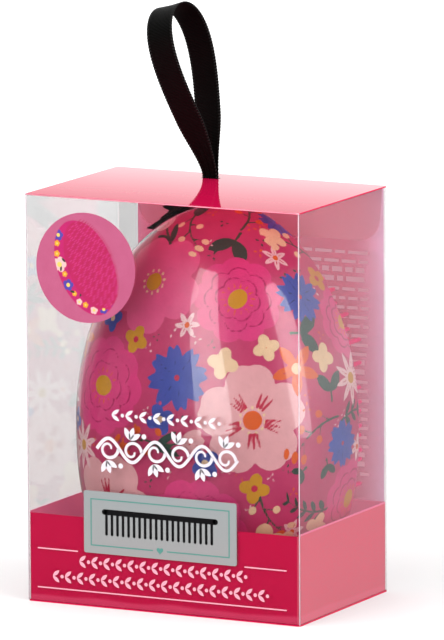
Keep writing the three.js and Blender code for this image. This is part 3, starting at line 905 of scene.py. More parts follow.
LARGE_FLOWERS = (  # kind, share across, share up, radius in mm, turn, other inks
    (heart_blossom, -0.20, 0.83, 13.0, 0.3, {"petal": "rose", "vein": "plum", "eye": "gold"}),
    (peony, 0.42, 0.80, 12.0, 0.9, {}),
    (peony, -0.52, 0.56, 13.5, 0.0, {}),
    (heart_blossom, 0.60, 0.50, 13.5, 1.0, {}),
    (cornflower, 0.08, 0.60, 9.0, 0.2, {}),
    (peony, 0.22, 0.21, 14.0, 2.0, {}),
    (heart_blossom, -0.45, 0.25, 13.0, 0.5, {}),
    (peony, 0.93, 0.72, 10.0, 0.4, {}),
    (heart_blossom, -0.93, 0.36, 10.0, 0.7, {}),
    (peony, 0.96, 0.26, 11.0, 1.5, {}),
    (heart_blossom, -0.72, 0.85, 8.5, 2.1, {}),
    (peony, -0.93, 0.10, 9.0, 0.6, {}),
)
for flower, across, up, size, angle, inks in LARGE_FLOWERS:
    place = spot(across, up)
    flower(place, size, angle, **inks)
    take(place, size)
print("large flowers:", len(LARGE_FLOWERS))

# %% Smaller flowers and greenery by chance
chance = np.random.default_rng(11)


def scatter(motifs, size, room, count):
    placed = 0
    for place in chance.permutation(len(skin))[:4000]:
        gaps = np.linalg.norm(np.array(taken_places) - skin[place], axis=1) - np.array(taken_sizes)
        if gaps.min() < room:
            continue
        motif, inks = motifs[placed % len(motifs)]
        motif(place, size * chance.uniform(0.88, 1.12), chance.uniform(0, math.tau), **inks)
        take(place, room)
        placed += 1
        if placed == count:
            break
    return placed


sprigs = [(fern, {}), (berry_sprig, {}), (fern, {}), (berry_sprig, {"berry": "orange"})]
greenery = scatter(sprigs, 17, 5.0, 22)
broad_leaves = scatter([(leaf_pair, {})], 7.5, 5.2, 12)
medium = scatter([
    (star_flower, {"petal": "light", "eye": "gold", "petals": 9}), (cornflower, {}), (star_flower, {}),
    (tulip, {}), (four_petals, {}), (tulip, {"petal": "pale"}),
], 6.8, 4.4, 30)
small = scatter([
    (four_petals, {}), (leaf_pair, {}), (four_petals, {"petal": "blue", "eye": "cream"}),
    (star_flower, {"petal": "light", "eye": "orange", "petals": 6}),
    (four_petals, {"petal": "gold", "eye": "red"}),
], 4.0, 2.9, 46)
tiny = scatter([(seeds, {}), (seeds, {"ink": "orange"}), (seeds, {"ink": "leaf"})], 2.0, 1.7, 70)
print("greenery", greenery, "leaves", broad_leaves, "medium", medium, "small", small, "tiny", tiny)

# %% [markdown]
# ### Shell finish
# The print lies under a clear gloss coat. The ground is crimson, each ink field is laid over it
# in turn, and two noises vary the colour: a broad one like uneven paint, a fine one like paper
# grain under the print.

# %% A finish for anything printed with ink fields
EDGE_SOFTNESS = 0.09


def print_inks(tree, shader, inks, ground, wobble_depth=0.34, grain_depth=0.14):
    """Lays each ink over a ground of two shades, inside the piece's own ink fields."""
    wobble = math_node(tree, "SUBTRACT", noise_field(tree, 1.1 * MM), 0.5)
    wobble = math_node(tree, "MULTIPLY", wobble, wobble_depth)
    uneven = noise_field(tree, 3.5 * MM, 4.0)
    colour = mix_colours(tree, uneven, paint(ground[0]), paint(ground[1]))
    for name, code in inks.items():
        inside = add_node(tree, "ShaderNodeAttribute", attribute_name="ink_" + name).outputs["Fac"]
        cover = map_range(tree, math_node(tree, "ADD", inside, wobble), -EDGE_SOFTNESS, EDGE_SOFTNESS)
        base = paint(code)
        deeper = tuple(share * 0.76 for share in base[:3]) + (1,)
        colour = mix_colours(tree, cover, colour, mix_colours(tree, uneven, deeper, base))
    fine = noise_field(tree, 0.32 * MM, 1.0)
    grain = map_range(tree, fine, 0.0, 1.0, 1 - grain_depth, 1 + grain_depth)
    grained = add_node(tree, "ShaderNodeVectorMath", {0: colour, 1: grain}, operation="MULTIPLY")
    lay_colour(tree, shader, grained.outputs[0])


def keep_values(piece, name, values):
    """Stores a number for each point of a piece, which its finish reads by this name."""
    values = np.array(values, np.float32)
    piece.data.attributes.new(name, "FLOAT", "POINT").data.foreach_set("value", values)


def keep_fields(piece, fields):
    for name, inside in fields.items():
        spread = np.full(len(piece.data.vertices), FAR_OUTSIDE)
        spread[:len(inside)] = inside
        keep_values(piece, "ink_" + name, spread)


print("ink edges are", 2 * EDGE_SOFTNESS, "mm soft")

# %% Shell piece
printed, tree, shader = new_finish(
    "printed_shell", paint("b00f50"), 0.32, Coat_Weight=1.0, Coat_Roughness=0.006,
)
print_inks(tree, shader, INKS, ("b02c5e", "c43a68"))
shell = new_piece("shell", shell_points, shell_faces, printed, "carton")
keep_fields(shell, fields)
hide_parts("brush_shell")
print("shell faces:", len(shell.data.polygons))

# %% [markdown]
# ### Panes for the shell alone
# The bright panes suit the dome, but a flat wall or the lid would mirror a whole pane at once from
# some sides and turn white. Light linking keeps them to one receiver: the shell.

# %% Keep the panes on the shell
pane_receivers = bpy.data.collections.new("pane_receivers")
pane_receivers.objects.link(shell)
for pane in (left_pane, tall_pane, right_pane):
    pane.light_linking.receiver_collection = pane_receivers

# %% [markdown]
# ## Bristle bed
# The bed is one flexible moulding: a slightly crowned plate that sits on the shell's ledge, with
# round tapered bristles in staggered rows. Tall and short rows alternate, and the tips get lower
# towards the edge. The CAD model cuts this bed into four faceted slices; here it is whole again,
# and each bristle is a small lathe form: a flared root, a long taper and a rounded tip. Joining
# hundreds of bristles to a plate with booleans is slow, so a root only starts inside the plate.

# %% Bed plate
BED_INSET = 1.4 * MM
BED_SINK = 2.3 * MM
BED_CROWN = 0.35 * MM
BED_ROUNDING = 0.3 * MM
BED_PROFILE = (  # inset and depth, from the plate's foot to its upper edge
    (BED_INSET + BED_ROUNDING, BED_SINK), (BED_INSET, BED_SINK - BED_ROUNDING),
    (BED_INSET, BED_ROUNDING), (BED_INSET + 0.25 * MM, 0.05 * MM),
)
CROWN_SHARES = (0.9, 0.7, 0.45, 0.2)
BED_SEGMENTS = 160

bed_turn = np.linspace(0, math.tau, BED_SEGMENTS, endpoint=False)
bed_rings = [dome_points(bed_turn, 1.0, depth, inset) for inset, depth in BED_PROFILE]
for share in CROWN_SHARES:
    ring = dome_points(bed_turn, 1.0, -BED_CROWN * (1 - share ** 2), BED_INSET)
    middle = np.array([0, 0, WIDEST_Z * (1 - share)])
    bed_rings.append(ring * (share, 1, share) + middle)
bed_points = [point for ring in bed_rings for point in ring]
bed_faces = closed_faces(0, len(bed_rings), BED_SEGMENTS)
print("bed plate", round(float(np.ptp(bed_rings[1][:, 2])) / MM, 1), "mm long")

# %% [markdown]
# ### Bristles
# An array modifier could repeat one bristle, but here rows alternate, the field follows the egg
# and each bristle leans a hair's breadth its own way, as moulded nylon does. A loop over rows
# and columns does all three, and leaves out the places beyond the field's own outline.

# %% One bristle
BRISTLE_LENGTH = 12.8 * MM
BRISTLE_CROWN = 1.4 * MM
BRISTLE_SIDES = 8
BRISTLE_PROFILE = (  # share of the height, and radius in mm
    (-0.03, 1.15), (0.03, 0.98), (0.1, 0.84), (0.45, 0.76),
    (0.8, 0.68), (0.94, 0.62), (0.985, 0.46), (1.0, 0.2),
)


def bristle(across, up, height, lean):
    """A bristle's rings of points, from its flared root to its rounded tip."""
    points = []
    for level, radius in BRISTLE_PROFILE:
        for side in range(BRISTLE_SIDES):
            spoke = side * math.tau / BRISTLE_SIDES
            points.append((
                across + lean[0] * level ** 2 + radius * MM * math.cos(spoke),
                RIM_Y + level * height,
                WIDEST_Z + up + lean[1] * level ** 2 + radius * MM * math.sin(spoke),
            ))
    return points


print("a bristle has", len(bristle(0, 0, BRISTLE_LENGTH, (0, 0))), "points")

# %% Rows of bristles
BRISTLE_PITCH = 3.75 * MM
SHORT_SHARE = 0.72
LEAN_SPREAD = 0.1 * MM
FIELD_INSET = 2.9 * MM
FIELD_TOE_INSET = 10.5 * MM
FIELD_TOE_POWER = 2.4
ROW_REACH = 20
COLUMN_REACH = 12

chance = np.random.default_rng(5)
bristle_count = 0
for row in range(-ROW_REACH, ROW_REACH + 1):
    for column in range(-COLUMN_REACH, COLUMN_REACH + 1):
        across = column * BRISTLE_PITCH + (BRISTLE_PITCH / 2 if row % 2 else 0)
        up = -row * BRISTLE_PITCH * math.sin(math.pi / 3)
        power = FIELD_TOE_POWER if up > 0 else HEEL_POWER
        length = TOE_LENGTH - FIELD_TOE_INSET if up > 0 else HEEL_LENGTH - FIELD_INSET
        share = abs(across / (HALF_WIDTH - FIELD_INSET)) ** power + abs(up / length) ** power
        if share >= 1:
            continue
        height = (BRISTLE_LENGTH - BRISTLE_CROWN * share) * (SHORT_SHARE if row % 2 else 1)
        bed_faces += closed_faces(len(bed_points), len(BRISTLE_PROFILE), BRISTLE_SIDES)
        bed_points += bristle(across, up, height, chance.normal(0, LEAN_SPREAD, 2))
        bristle_count += 1
print(bristle_count, "bristles")

# %% [markdown]
# ### Pink nylon
# The moulding is soft nylon, so a little light enters it and comes out again nearby. A broad and
# a fine noise vary the pink, and the fine one also raises a faint grain.

# %% Bristle finish and piece
nylon, tree, shader = new_finish(
    "pink_nylon", paint("ea2478"), 0.36, Subsurface_Weight=0.2, Subsurface_Scale=2 * MM,
)
fine = noise_field(tree, 0.4 * MM)
lay_colour(tree, shader, tint(tree, speckle(tree, 7 * MM, "dc1a6c", "f43482"), fine, 0.25, "cc1060"))
add_relief(tree, shader, fine, 0.02 * MM)
bed = new_piece("bristle_bed", bed_points, bed_faces, nylon, "carton")
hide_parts("bristle_pad_1", "bristle_pad_2", "bristle_pad_3", "bristle_pad_4")
print("bristle bed faces:", len(bed.data.polygons))

# %% [markdown]
# ## Ribbon
# One black satin ribbon makes the loop, the knot and the tails. A flat strap is modelled directly:
# a thin section with a little cup is carried along a path. Its two edges have the beads of a woven
# selvage, and the weave itself is fine ribs across the strap, which the finish raises. Each point
# keeps how far along and how far across the strap it lies, so the ribs follow the ribbon.

# %% Sweep a strap along a path
RIBBON_WIDTH = 7.6 * MM
RIBBON_THICKNESS = 0.35 * MM
GATHER_SHARE = 0.54
GATHER_HEIGHT = 16 * MM
BEAD_PITCH = 0.85 * MM
BEAD_REACH = 0.15 * MM
STRAP_COLUMNS = 13
PATH_SPACING = 0.16 * MM


def walk(path):
    """How far along a path each of its points lies."""
    return np.concatenate([[0], np.cumsum(np.linalg.norm(np.diff(path, axis=0), axis=1))])


def read_off(distances, walked, values):
    """The rows of values, read off at other distances along the path."""
    return np.stack([np.interp(distances, walked, column) for column in values.T], axis=1)


def smooth_path(points, spacing):
    """Points at an even spacing on a smooth curve through the given ones."""
    points = np.asarray(points, float)
    padded = np.vstack([2 * points[0] - points[1], points, 2 * points[-1] - points[-2]])
    fine = []
    for a, b, c, d in zip(padded, padded[1:], padded[2:], padded[3:]):
        for t in np.linspace(0, 1, 40, endpoint=False):
            fine.append(b + 0.5 * t * (c - a + t * (2 * a - 5 * b + 4 * c - d + t * (3 * (b - c) + d - a))))
    fine = np.array(fine + [points[-1]])
    walked = walk(fine)
    even = np.linspace(0, walked[-1], max(int(walked[-1] / spacing), 8))
    return read_off(even, walked, fine)

print("the ribbon is", RIBBON_WIDTH / MM, "mm wide")

# %% A strap along a path
def strap_mesh(path, across, width=RIBBON_WIDTH, cup=0.25 * MM, fork=0.0, bunch=None, pleat=0.0):
    """A strap's points, faces and its along and across values. fork cuts a notch into its end."""
    path = np.asarray(path)
    across = np.asarray(across, float) * np.ones((len(path), 1))
    tangent = np.gradient(path, axis=0)
    tangent /= np.linalg.norm(tangent, axis=1, keepdims=True)
    wide = across - (across * tangent).sum(1, keepdims=True) * tangent
    wide /= np.linalg.norm(wide, axis=1, keepdims=True)
    thick = np.cross(tangent, wide)
    walked = walk(path)
    beads = BEAD_REACH * np.abs(np.sin(math.pi * walked / BEAD_PITCH))
    half = width / 2 * (np.ones(len(path)) if bunch is None else bunch)
    columns = np.linspace(-1, 1, STRAP_COLUMNS)
    points = []
    along_values = []
    across_values = []
    for face in (1, -1):
        for share in columns:
            keep = (walked[-1] - fork * (1 - abs(share))) / walked[-1]
            at = walked * keep
            centre, side, lift = (read_off(at, walked, values) for values in (path, wide, thick))
            reach = half * share + np.sign(share) * beads * (abs(share) > 0.95)
            taper = 0.5 * RIBBON_THICKNESS * (1 - 0.35 * share ** 4)
            raised = cup * (1 - share ** 2) + pleat * math.cos(3 * math.pi * share) + face * taper
            points.append(centre + side * reach[:, None] + lift * np.reshape(raised, (-1, 1)))
            along_values.append(at)
            across_values.append(np.full(len(path), share))
    order = list(range(STRAP_COLUMNS)) + list(range(2 * STRAP_COLUMNS - 1, STRAP_COLUMNS - 1, -1))
    length, ring = len(path), len(order)
    grid = np.stack([points[i] for i in order], axis=1).reshape(-1, 3)
    along = np.stack([along_values[i] for i in order], axis=1).reshape(-1)
    aside = np.stack([across_values[i] for i in order], axis=1).reshape(-1)
    faces = side_faces(0, length, ring)
    for start in (0, (length - 1) * ring):
        faces += [[start + j, start + j + 1, start + ring - 2 - j, start + ring - 1 - j]
                  for j in range(STRAP_COLUMNS - 1)]
    return grid, faces, along, aside


def join_meshes(*parts):
    points, faces, along, aside = [], [], [], []
    for part in parts:
        faces += [[corner + len(points) for corner in face] for face in part[1]]
        points += list(part[0])
        along += list(part[2])
        aside += list(part[3])
    return points, faces, along, aside


def ribbon_piece(name, mesh, finish, body=None):
    points, faces, along, aside = mesh
    piece = new_piece(name, points, faces, finish, body)
    keep_values(piece, "along", along)
    keep_values(piece, "across", aside)
    return piece


print("a strap is", STRAP_COLUMNS, "points wide")

# %% [markdown]
# ### Black satin
# Satin is woven, and its ribs run across the ribbon. A picture of cloth would repeat and stretch,
# so the finish reads how far along the strap each point lies, and a sine of that makes the ribs.
# A coarser sine makes the beads of the two edges. Both sines also lighten the colour on each rib
# and each bead, as a painted highlight.

# %% Satin finish
RIB_PITCH = 0.42 * MM
EDGE_START = 0.86

satin, tree, shader = new_finish("black_satin", paint("050505"), 0.45, Specular_IOR_Level=0.13)
along = add_node(tree, "ShaderNodeAttribute", attribute_name="along").outputs["Fac"]
aside = add_node(tree, "ShaderNodeAttribute", attribute_name="across").outputs["Fac"]
rib = math_node(tree, "SINE", math_node(tree, "MULTIPLY", along, math.tau / RIB_PITCH))
bead = math_node(tree, "SINE", math_node(tree, "MULTIPLY", along, math.tau / BEAD_PITCH))
near_edge = math_node(tree, "GREATER_THAN", math_node(tree, "ABSOLUTE", aside), EDGE_START)
edge_bead = math_node(tree, "MULTIPLY", math_node(tree, "MULTIPLY", bead, near_edge), 2.0)
add_relief(tree, shader, math_node(tree, "ADD", rib, edge_bead), 0.06 * MM)
# Painted highlight: the top of each rib and each edge bead is coloured lighter.
rib_painted_highlight = math_node(tree, "ADD", math_node(tree, "MULTIPLY", rib, 0.5), 0.5)
bead_painted_highlight = math_node(tree, "MULTIPLY", near_edge, math_node(tree, "GREATER_THAN", bead, 0.2))
cloth = tint(tree, speckle(tree, 0.5 * MM, "030303", "090908"), rib_painted_highlight, 0.35, "161514")
lay_colour(tree, shader, tint(tree, cloth, bead_painted_highlight, 0.5, "3a3838"))
print("ribs in 10 mm of satin:", round(10 * MM / RIB_PITCH))

# %% [markdown]
# ### Hanging loop
# The loop leaves the lid's slot gathered, opens to a drop shape and comes back down. A curve
# object with a bevel would twist where it turns over, so the path is a formula and the strap's
# width keeps one direction, leaning with the loop.

# %% Path of the loop
SLOT = Vector((-8.1, 18.6, 0)) * MM + Vector((0, 0, LID_TOP))
LOOP_HEIGHT = 45.5 * MM
LOOP_SPREAD = 10.5 * MM
LOOP_LEAN_SHARE = 0.28
LOOP_LEAN_START = 3 * MM
LOOP_CLEARANCE = 0.55 * MM
STUB_DEPTH = 3.2 * MM
STRAND_GAP = 0.5 * MM
STRAND_Y = (RIBBON_THICKNESS + STRAND_GAP) / 2
WIDEST_SPREAD = math.sin(math.tau / 3) * (1 - math.cos(math.tau / 3))

turn = np.linspace(0, math.tau, 420)
rise = LOOP_HEIGHT * (1 - np.cos(turn)) / 2
reach = np.hypot(rise, LOOP_LEAN_START)
loop_y = -LOOP_SPREAD * np.sin(turn) * (1 - np.cos(turn)) / WIDEST_SPREAD - STRAND_Y * np.cos(turn / 2)
loop_x = -LOOP_LEAN_SHARE * (reach - LOOP_LEAN_START)
loop = np.stack([loop_x, loop_y, LOOP_CLEARANCE + rise], axis=1)
stub = np.linspace(-STUB_DEPTH, LOOP_CLEARANCE, 12, endpoint=False)
going_up = np.stack([0 * stub, 0 * stub - STRAND_Y, stub], axis=1)
coming_down = np.stack([0 * stub, 0 * stub + STRAND_Y, stub], axis=1)[::-1]
path = smooth_path(np.vstack([going_up, loop, coming_down])[::3], PATH_SPACING)
print("loop path", round(float(walk(path)[-1]) / MM, 1), "mm")

# %% Hanging loop
GATHER_PLEAT = 0.3 * MM

path_rise = np.maximum(path[:, 2] - LOOP_CLEARANCE, 0)
lean = LOOP_LEAN_SHARE * path_rise / np.hypot(path_rise, LOOP_LEAN_START)
across = np.stack([np.ones(len(path)), np.zeros(len(path)), lean], axis=1)
spread = np.clip(path_rise / GATHER_HEIGHT, 0, 1)
spread = spread * spread * (3 - 2 * spread)
upward = np.sign(np.gradient(path[:, 2]))
hang_loop = ribbon_piece("hang_loop", strap_mesh(
    path + np.array(SLOT), across, cup=0.2 * MM * spread,
    bunch=GATHER_SHARE + (1 - GATHER_SHARE) * spread, pleat=GATHER_PLEAT * (1 - spread) * upward,
), satin)
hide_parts("ribbon_loop")
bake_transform(hang_loop)
print("loop faces:", len(hang_loop.data.polygons))

# %% [markdown]
# ### Knot and tails
# Under the lid the ribbon is tied, and its two ends hang forward. A real knot is a long path that
# passes over and under itself, and little of it shows, so a folded lump with two turns of strap
# round it stands for it. The tails are straps along chains of shares of one tail's size.

# %% Turns and folded core of the knot
KNOT = SLOT + Vector((0, 0, -3.0)) * MM
KNOT_HALF = np.array([4.6, 2.2, 1.9]) * MM
CORE_STATIONS = 17
CORE_SPOKES = 32


def wrap(middle, half_sizes, tilt, width):
    """A turn of ribbon round the knot, its width across the knot."""
    spin = np.linspace(0, math.tau, 60)
    ring = np.stack([
        math.sin(tilt) * half_sizes[2] * np.sin(spin),
        half_sizes[1] * np.cos(spin),
        half_sizes[2] * np.sin(spin),
    ], axis=1)
    return strap_mesh(ring + np.array(middle), (1, 0, -math.sin(tilt)), width=width, cup=0.3 * MM)


def folded_core():
    """The bunched ribbon inside the knot: a lump with folds that run across it."""
    points = []
    for i in range(CORE_STATIONS):
        lift = math.pi * (i + 0.5) / CORE_STATIONS - math.pi / 2
        for j in range(CORE_SPOKES):
            spoke = j * math.tau / CORE_SPOKES
            radius = math.cos(lift) ** 0.7 * (1 + 0.09 * math.sin(4 * spoke + 5 * lift))
            way = (math.sin(lift), radius * math.cos(spoke), radius * math.sin(spoke))
            points.append(np.array(KNOT) + KNOT_HALF * way)
    faces = closed_faces(0, CORE_STATIONS, CORE_SPOKES)
    return points, faces, [point[0] for point in points], [0.0] * len(points)


print("core points:", CORE_STATIONS * CORE_SPOKES)

# %% Tails, and the whole knot
TAIL_SIZE = np.array([18.6, 2.3, 13.0]) * MM
TAIL_SHARE = 0.66
LONG_TAIL_SHARES = (
    (0, 0, 0), (-0.03, -0.17, -0.02), (-0.11, -0.56, -0.27),
    (-0.35, -0.89, -0.45), (-0.64, -1, -0.67), (-1, -1, -1),
)
SHORT_TAIL_SHARES = (
    (0, 0, 0), (-0.07, 0.06, -0.02), (-0.2, -0.22, -0.2),
    (-0.44, -0.53, -0.32), (-0.77, -0.64, -0.55),
)


def tail(shares, across, fork):
    path = smooth_path(np.array(shares) * TAIL_SIZE + np.array(KNOT), PATH_SPACING)
    share = np.linspace(0, 1, len(path))
    bunch = GATHER_SHARE + (TAIL_SHARE - GATHER_SHARE) * np.clip(share / 0.3, 0, 1)
    return strap_mesh(path, across, cup=0.5 * MM, fork=fork, bunch=bunch)


knot = ribbon_piece("ribbon_knot_and_tails", join_meshes(
    folded_core(),
    wrap(KNOT, (0, 2.55 * MM, 2.1 * MM), 0.25, 3.4 * MM),
    wrap(KNOT + Vector((1.4, 0, 0)) * MM, (0, 2.35 * MM, 1.9 * MM), -0.2, 2.4 * MM),
    tail(LONG_TAIL_SHARES, (-0.63, 0.77, 0.14), 3.2 * MM),
    tail(SHORT_TAIL_SHARES, (-0.5, 0.8, 0.35), 2.6 * MM),
), satin, "lid")
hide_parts("ribbon_knot")
print("knot faces:", len(knot.data.polygons))

# %% [markdown]
# ## Round sticker
# The sticker shows the brush from its bristle side. It is printed like the shell, with ink fields
# over a fine grid, here a square grid bent into a flat disc. The drawing is laid out along the
# brush's own length, so the whole picture turns with one angle.

# %% Sticker grid
STICKER_GRID = 170
sticker_low, sticker_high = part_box("round_sticker")
STICKER_MIDDLE = (sticker_low + sticker_high) / 2
STICKER_RADIUS = (sticker_high.x - sticker_low.x) / 2

disc_x, disc_z, sticker_faces, edge = disc_grid(STICKER_GRID)
sticker_x, sticker_z = disc_x * STICKER_RADIUS, disc_z * STICKER_RADIUS
front_y = np.full(len(sticker_x), sticker_low.y - STICKER_MIDDLE.y)
front = np.stack([sticker_x, front_y, sticker_z], axis=1)
back = front[edge] + np.array([0, sticker_high.y - sticker_low.y, 0])
sticker_points = np.vstack([front, back]) + np.array(STICKER_MIDDLE)
rim = len(front) + np.arange(len(edge))
sticker_faces += stitch(edge, rim) + [rim[::-1].tolist()]
print("sticker", round(2 * STICKER_RADIUS / MM, 1), "mm,", len(sticker_points), "points")

# %% Drawing of the brush on the sticker
STICKER_INKS = {
    "rim": "c41068",
    "bloom": "f2c0bc",
    "indigo": "5442a8",
    "amber": "f0a020",
    "leaf": "27402f",
    "bed": "be0e5a",
    "root": "b80e4c",
    "strand": "ce2e7a",
    "spark": "f8d060",
}
BRUSH_TILT = math.radians(24.6)
BRUSH_HALF = (13.2, 8.3)
BED_HALF = (12.4, 6.7)
BED_SHIFT = 1.6
DRAWN_ROWS = 44
DRAWN_COLUMNS = 10

length_way, width_way = turned(sticker_x / MM, sticker_z / MM, BRUSH_TILT - math.pi / 2)
drawing = {name: np.full(len(front), FAR_OUTSIDE) for name in STICKER_INKS}


def draw(ink, inside):
    drawing[ink] = np.maximum(drawing[ink], inside)


brush_form = oval(length_way, width_way, *BRUSH_HALF)
bed_form = oval(length_way, width_way - BED_SHIFT, *BED_HALF)
draw("rim", brush_form)
draw("bed", bed_form)
for i in range(DRAWN_ROWS):
    along = -11.9 + 0.55 * i
    half = BED_HALF[1] * math.sqrt(max(1 - (along / BED_HALF[0]) ** 2, 0))
    edge_way = BED_SHIFT + half
    tip = (along - 0.35, edge_way + 0.75)
    draw("bed", line(length_way, width_way, (along, edge_way - 0.6), tip, 0.32, 0.14))
    for j in range(DRAWN_COLUMNS):
        across = BED_SHIFT - half + 1.1 + 1.25 * j + 0.6 * (i % 2)
        if across < edge_way - 0.4:
            ends = ((along, across), (along - 0.16, across + 0.75))
            draw("strand" if (i + j) % 3 else "root", line(length_way, width_way, *ends, 0.2, 0.26))
print("sticker inks:", ", ".join(STICKER_INKS))

# %% Small flowers along the drawn rim
RIM_FLOWERS = (
    (-10.9, -3.9, "indigo", 1.5), (-9.0, -5.2, "amber", 0.85), (-6.5, -6.4, "amber", 0.9),
    (-3.6, -6.9, "bloom", 2.1), (-0.7, -6.5, "amber", 0.8), (2.3, -6.8, "indigo", 1.6),
    (5.1, -6.0, "amber", 0.75), (7.6, -5.6, "bloom", 0.9), (9.0, -4.2, "amber", 0.85),
    (11.2, -2.4, "bloom", 1.1), (12.0, 0.4, "indigo", 1.3), (11.2, 3.0, "indigo", 1.0),
)
in_rim = np.minimum(brush_form, 0.25 - bed_form)
for along, across, ink, size in RIM_FLOWERS:
    x, y = length_way - along, width_way - across
    draw(ink, np.minimum(scallops(x, y, size, 5, 0.3), in_rim))
    draw("spark", np.minimum(disc(x, y, size * 0.34), in_rim))
for along, across, angle in ((-5.0, -5.6, 0.4), (-1.7, -7.4, 2.6), (3.9, -7.0, 0.9), (6.4, -4.9, 2.2)):
    x, y = turned(length_way - along, width_way - across, angle)
    draw("leaf", np.minimum(pointed_leaf(x, y, 1.7, 0.6), in_rim))
print("rim flowers:", len(RIM_FLOWERS))

# %% [markdown]
# ### Sticker paper
# The sticker is coated paper, printed like the shell. It takes the same ink finish, with edges
# that are steadier and a coat that is weaker than the shell's.

# %% Sticker piece
paper, tree, shader = new_finish("pink_paper", paint("dc7a9c"), 0.45, Coat_Weight=0.25, Coat_Roughness=0.2)
print_inks(tree, shader, STICKER_INKS, ("b24c72", "bc5a80"), wobble_depth=0.12, grain_depth=0.1)
sticker = new_piece("sticker", sticker_points, sticker_faces, paper, "carton", smooth=False)
keep_fields(sticker, drawing)
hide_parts("round_sticker")
print("sticker faces:", len(sticker.data.polygons))

# %% [markdown]
# ## Flat trim
# The rest of the print is fine line work: a border and a comb on the label, a white scroll over
# the window, pale rows on the band and small print on the back. Fields would need a very fine
# grid there, so these are cut from thin plates that lie on the film, and their edges stay sharp.
# An outline is a list of (x, z) places in millimetres on the wall.

# %% Plates from outlines
PLATE_HALF = 0.015 * MM


def print_plates(name, outlines, ink, slot, *depths):
    """One printed piece of the carton: thin plates cut to the outlines, at each depth given."""
    points, faces = [], []
    for depth in depths:
        for outline in outlines:
            faces += closed_faces(len(points), 2, len(outline))
            for y in (depth - PLATE_HALF, depth + PLATE_HALF):
                points += [(x * MM, y, z * MM) for x, z in outline]
    return new_piece(name, points, faces, ink, "carton", smooth=False)


print("plates are", 2 * PLATE_HALF / MM, "mm thick")

# %% Bars, dots, blades and strokes
def bar(left, low, right, high):
    return [(left, low), (right, low), (right, high), (left, high)]


def dot(x, z, radius):
    spokes = np.linspace(0, math.tau, 24, endpoint=False)
    return [(x + radius * math.cos(a), z + radius * math.sin(a)) for a in spokes]


def blade(x, z, length, width, angle):
    shares = np.linspace(0, 1, 12)
    upper = [(length * s, width / 2 * math.sin(math.pi * s) ** 0.8) for s in shares]
    lower = [(length * s, -width / 2 * math.sin(math.pi * s) ** 0.8) for s in shares[-2:0:-1]]
    return [(x + a * math.cos(angle) - b * math.sin(angle), z + a * math.sin(angle) + b * math.cos(angle))
            for a, b in upper + lower]


def stroke(path, start_width, end_width):
    path = np.asarray(path, float)
    along = np.gradient(path, axis=0)
    along /= np.linalg.norm(along, axis=1, keepdims=True)
    half = np.linspace(start_width, end_width, len(path))[:, None] / 2
    beside = np.stack([-along[:, 1], along[:, 0]], axis=1) * half
    return [tuple(place) for place in np.vstack([path + beside, (path - beside)[::-1]])]


def curl(x, z, size, start, hand, turns=1.1):
    shares = np.linspace(0, 1, 40)
    radius = size * (1 - 0.75 * shares)
    angle = start + hand * turns * math.tau * shares
    middle = np.array([x - size * math.cos(start), z - size * math.sin(start)])
    return stroke(middle + np.stack([radius * np.cos(angle), radius * np.sin(angle)], axis=1), 0.9, 0.55)


print("a dot has", len(dot(0, 0, 1)), "corners")

# %% [markdown]
# ### White scroll
# White ink lies over the window: a wavy stem with a curl and three leaves in each wave, under a
# row of small leaves. One loop over the waves draws it, with every other wave turned over.

# %% White scroll over the window
ON_FILM = FRONT_FACE - 0.03 * MM
SCROLL_LEFT, SCROLL_RIGHT, SCROLL_Z = -19.5, 22.4, 43.0
SCROLL_WAVES = 3

white_ink = two_shades("white_ink", "d8d2d9", "e4dee5", 0.3)
stem_x = np.linspace(SCROLL_LEFT, SCROLL_RIGHT, 120)
wave_turn = (stem_x - SCROLL_LEFT) / (SCROLL_RIGHT - SCROLL_LEFT) * SCROLL_WAVES * math.tau
outlines = [stroke(np.stack([stem_x, SCROLL_Z + 3.0 * np.sin(wave_turn)], axis=1), 0.95, 0.8)]
for i in range(2 * SCROLL_WAVES):
    middle = SCROLL_LEFT + (i + 0.5) * (SCROLL_RIGHT - SCROLL_LEFT) / (2 * SCROLL_WAVES)
    hand = 1 if i % 2 else -1
    outlines.append(curl(middle + 2.9, SCROLL_Z - hand * 0.2, 2.9, 0.0, hand, turns=1.0))
    for lean in (0.5, 1.25, 2.0):
        outlines.append(blade(middle - 0.6, SCROLL_Z + hand * 3.0, 3.6, 1.5, hand * lean))
    outlines.append(dot(middle + 3.6, SCROLL_Z + hand * 4.2, 0.7))
for x in np.arange(-15.0, 17.0, 4.1):
    for lean in (0.6, -0.6):
        outlines.append(blade(x, 52.4, 2.7, 1.0, lean))
    outlines.append(dot(x + 3.2, 52.4, 0.5))
print_plates("white_scroll", outlines, white_ink, "clear_film", ON_FILM)
print("scroll outlines:", len(outlines))

# %% [markdown]
# ### Rows on the band
# Pale ink on the crimson: two rows of paired leaves with dots, and thin rules beside and under
# them. They use the same blades and dots as the scroll.

# %% Pale rules and rows on the band
pale_ink = two_shades("pale_ink", "e69aae", "f4acbc", 0.4)
outlines = [bar(-37.5, 14.5, -25.4, 14.85), bar(24.2, 14.5, 36.6, 14.85), bar(-37.6, 3.9, 36.6, 4.25)]
for left, right, row_z in ((-25.0, 24.0, 12.0), (-33.0, 32.0, 7.4)):
    for i, x in enumerate(np.arange(left, right - 1.5, 3.6)):
        for lean in (0.7, -0.7):
            outlines.append(blade(x, row_z, 2.5, 1.0, lean))
        outlines.append(dot(x + 2.75, row_z, 0.5))
print_plates("band_rows", outlines, pale_ink, "crimson_print", ON_FILM)
print("band outlines:", len(outlines))

# %% [markdown]
# ### Label
# The label is silver card. Its grey runs from warmer at its foot to cooler at its top, and varies in
# broad patches: a painted sheen of the foil. Its thin teal frame opens at the lower edge for a small
# heart, which is a well-known curve of sines and cosines.

# %% Silver card
label_low, label_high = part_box("label_plate")

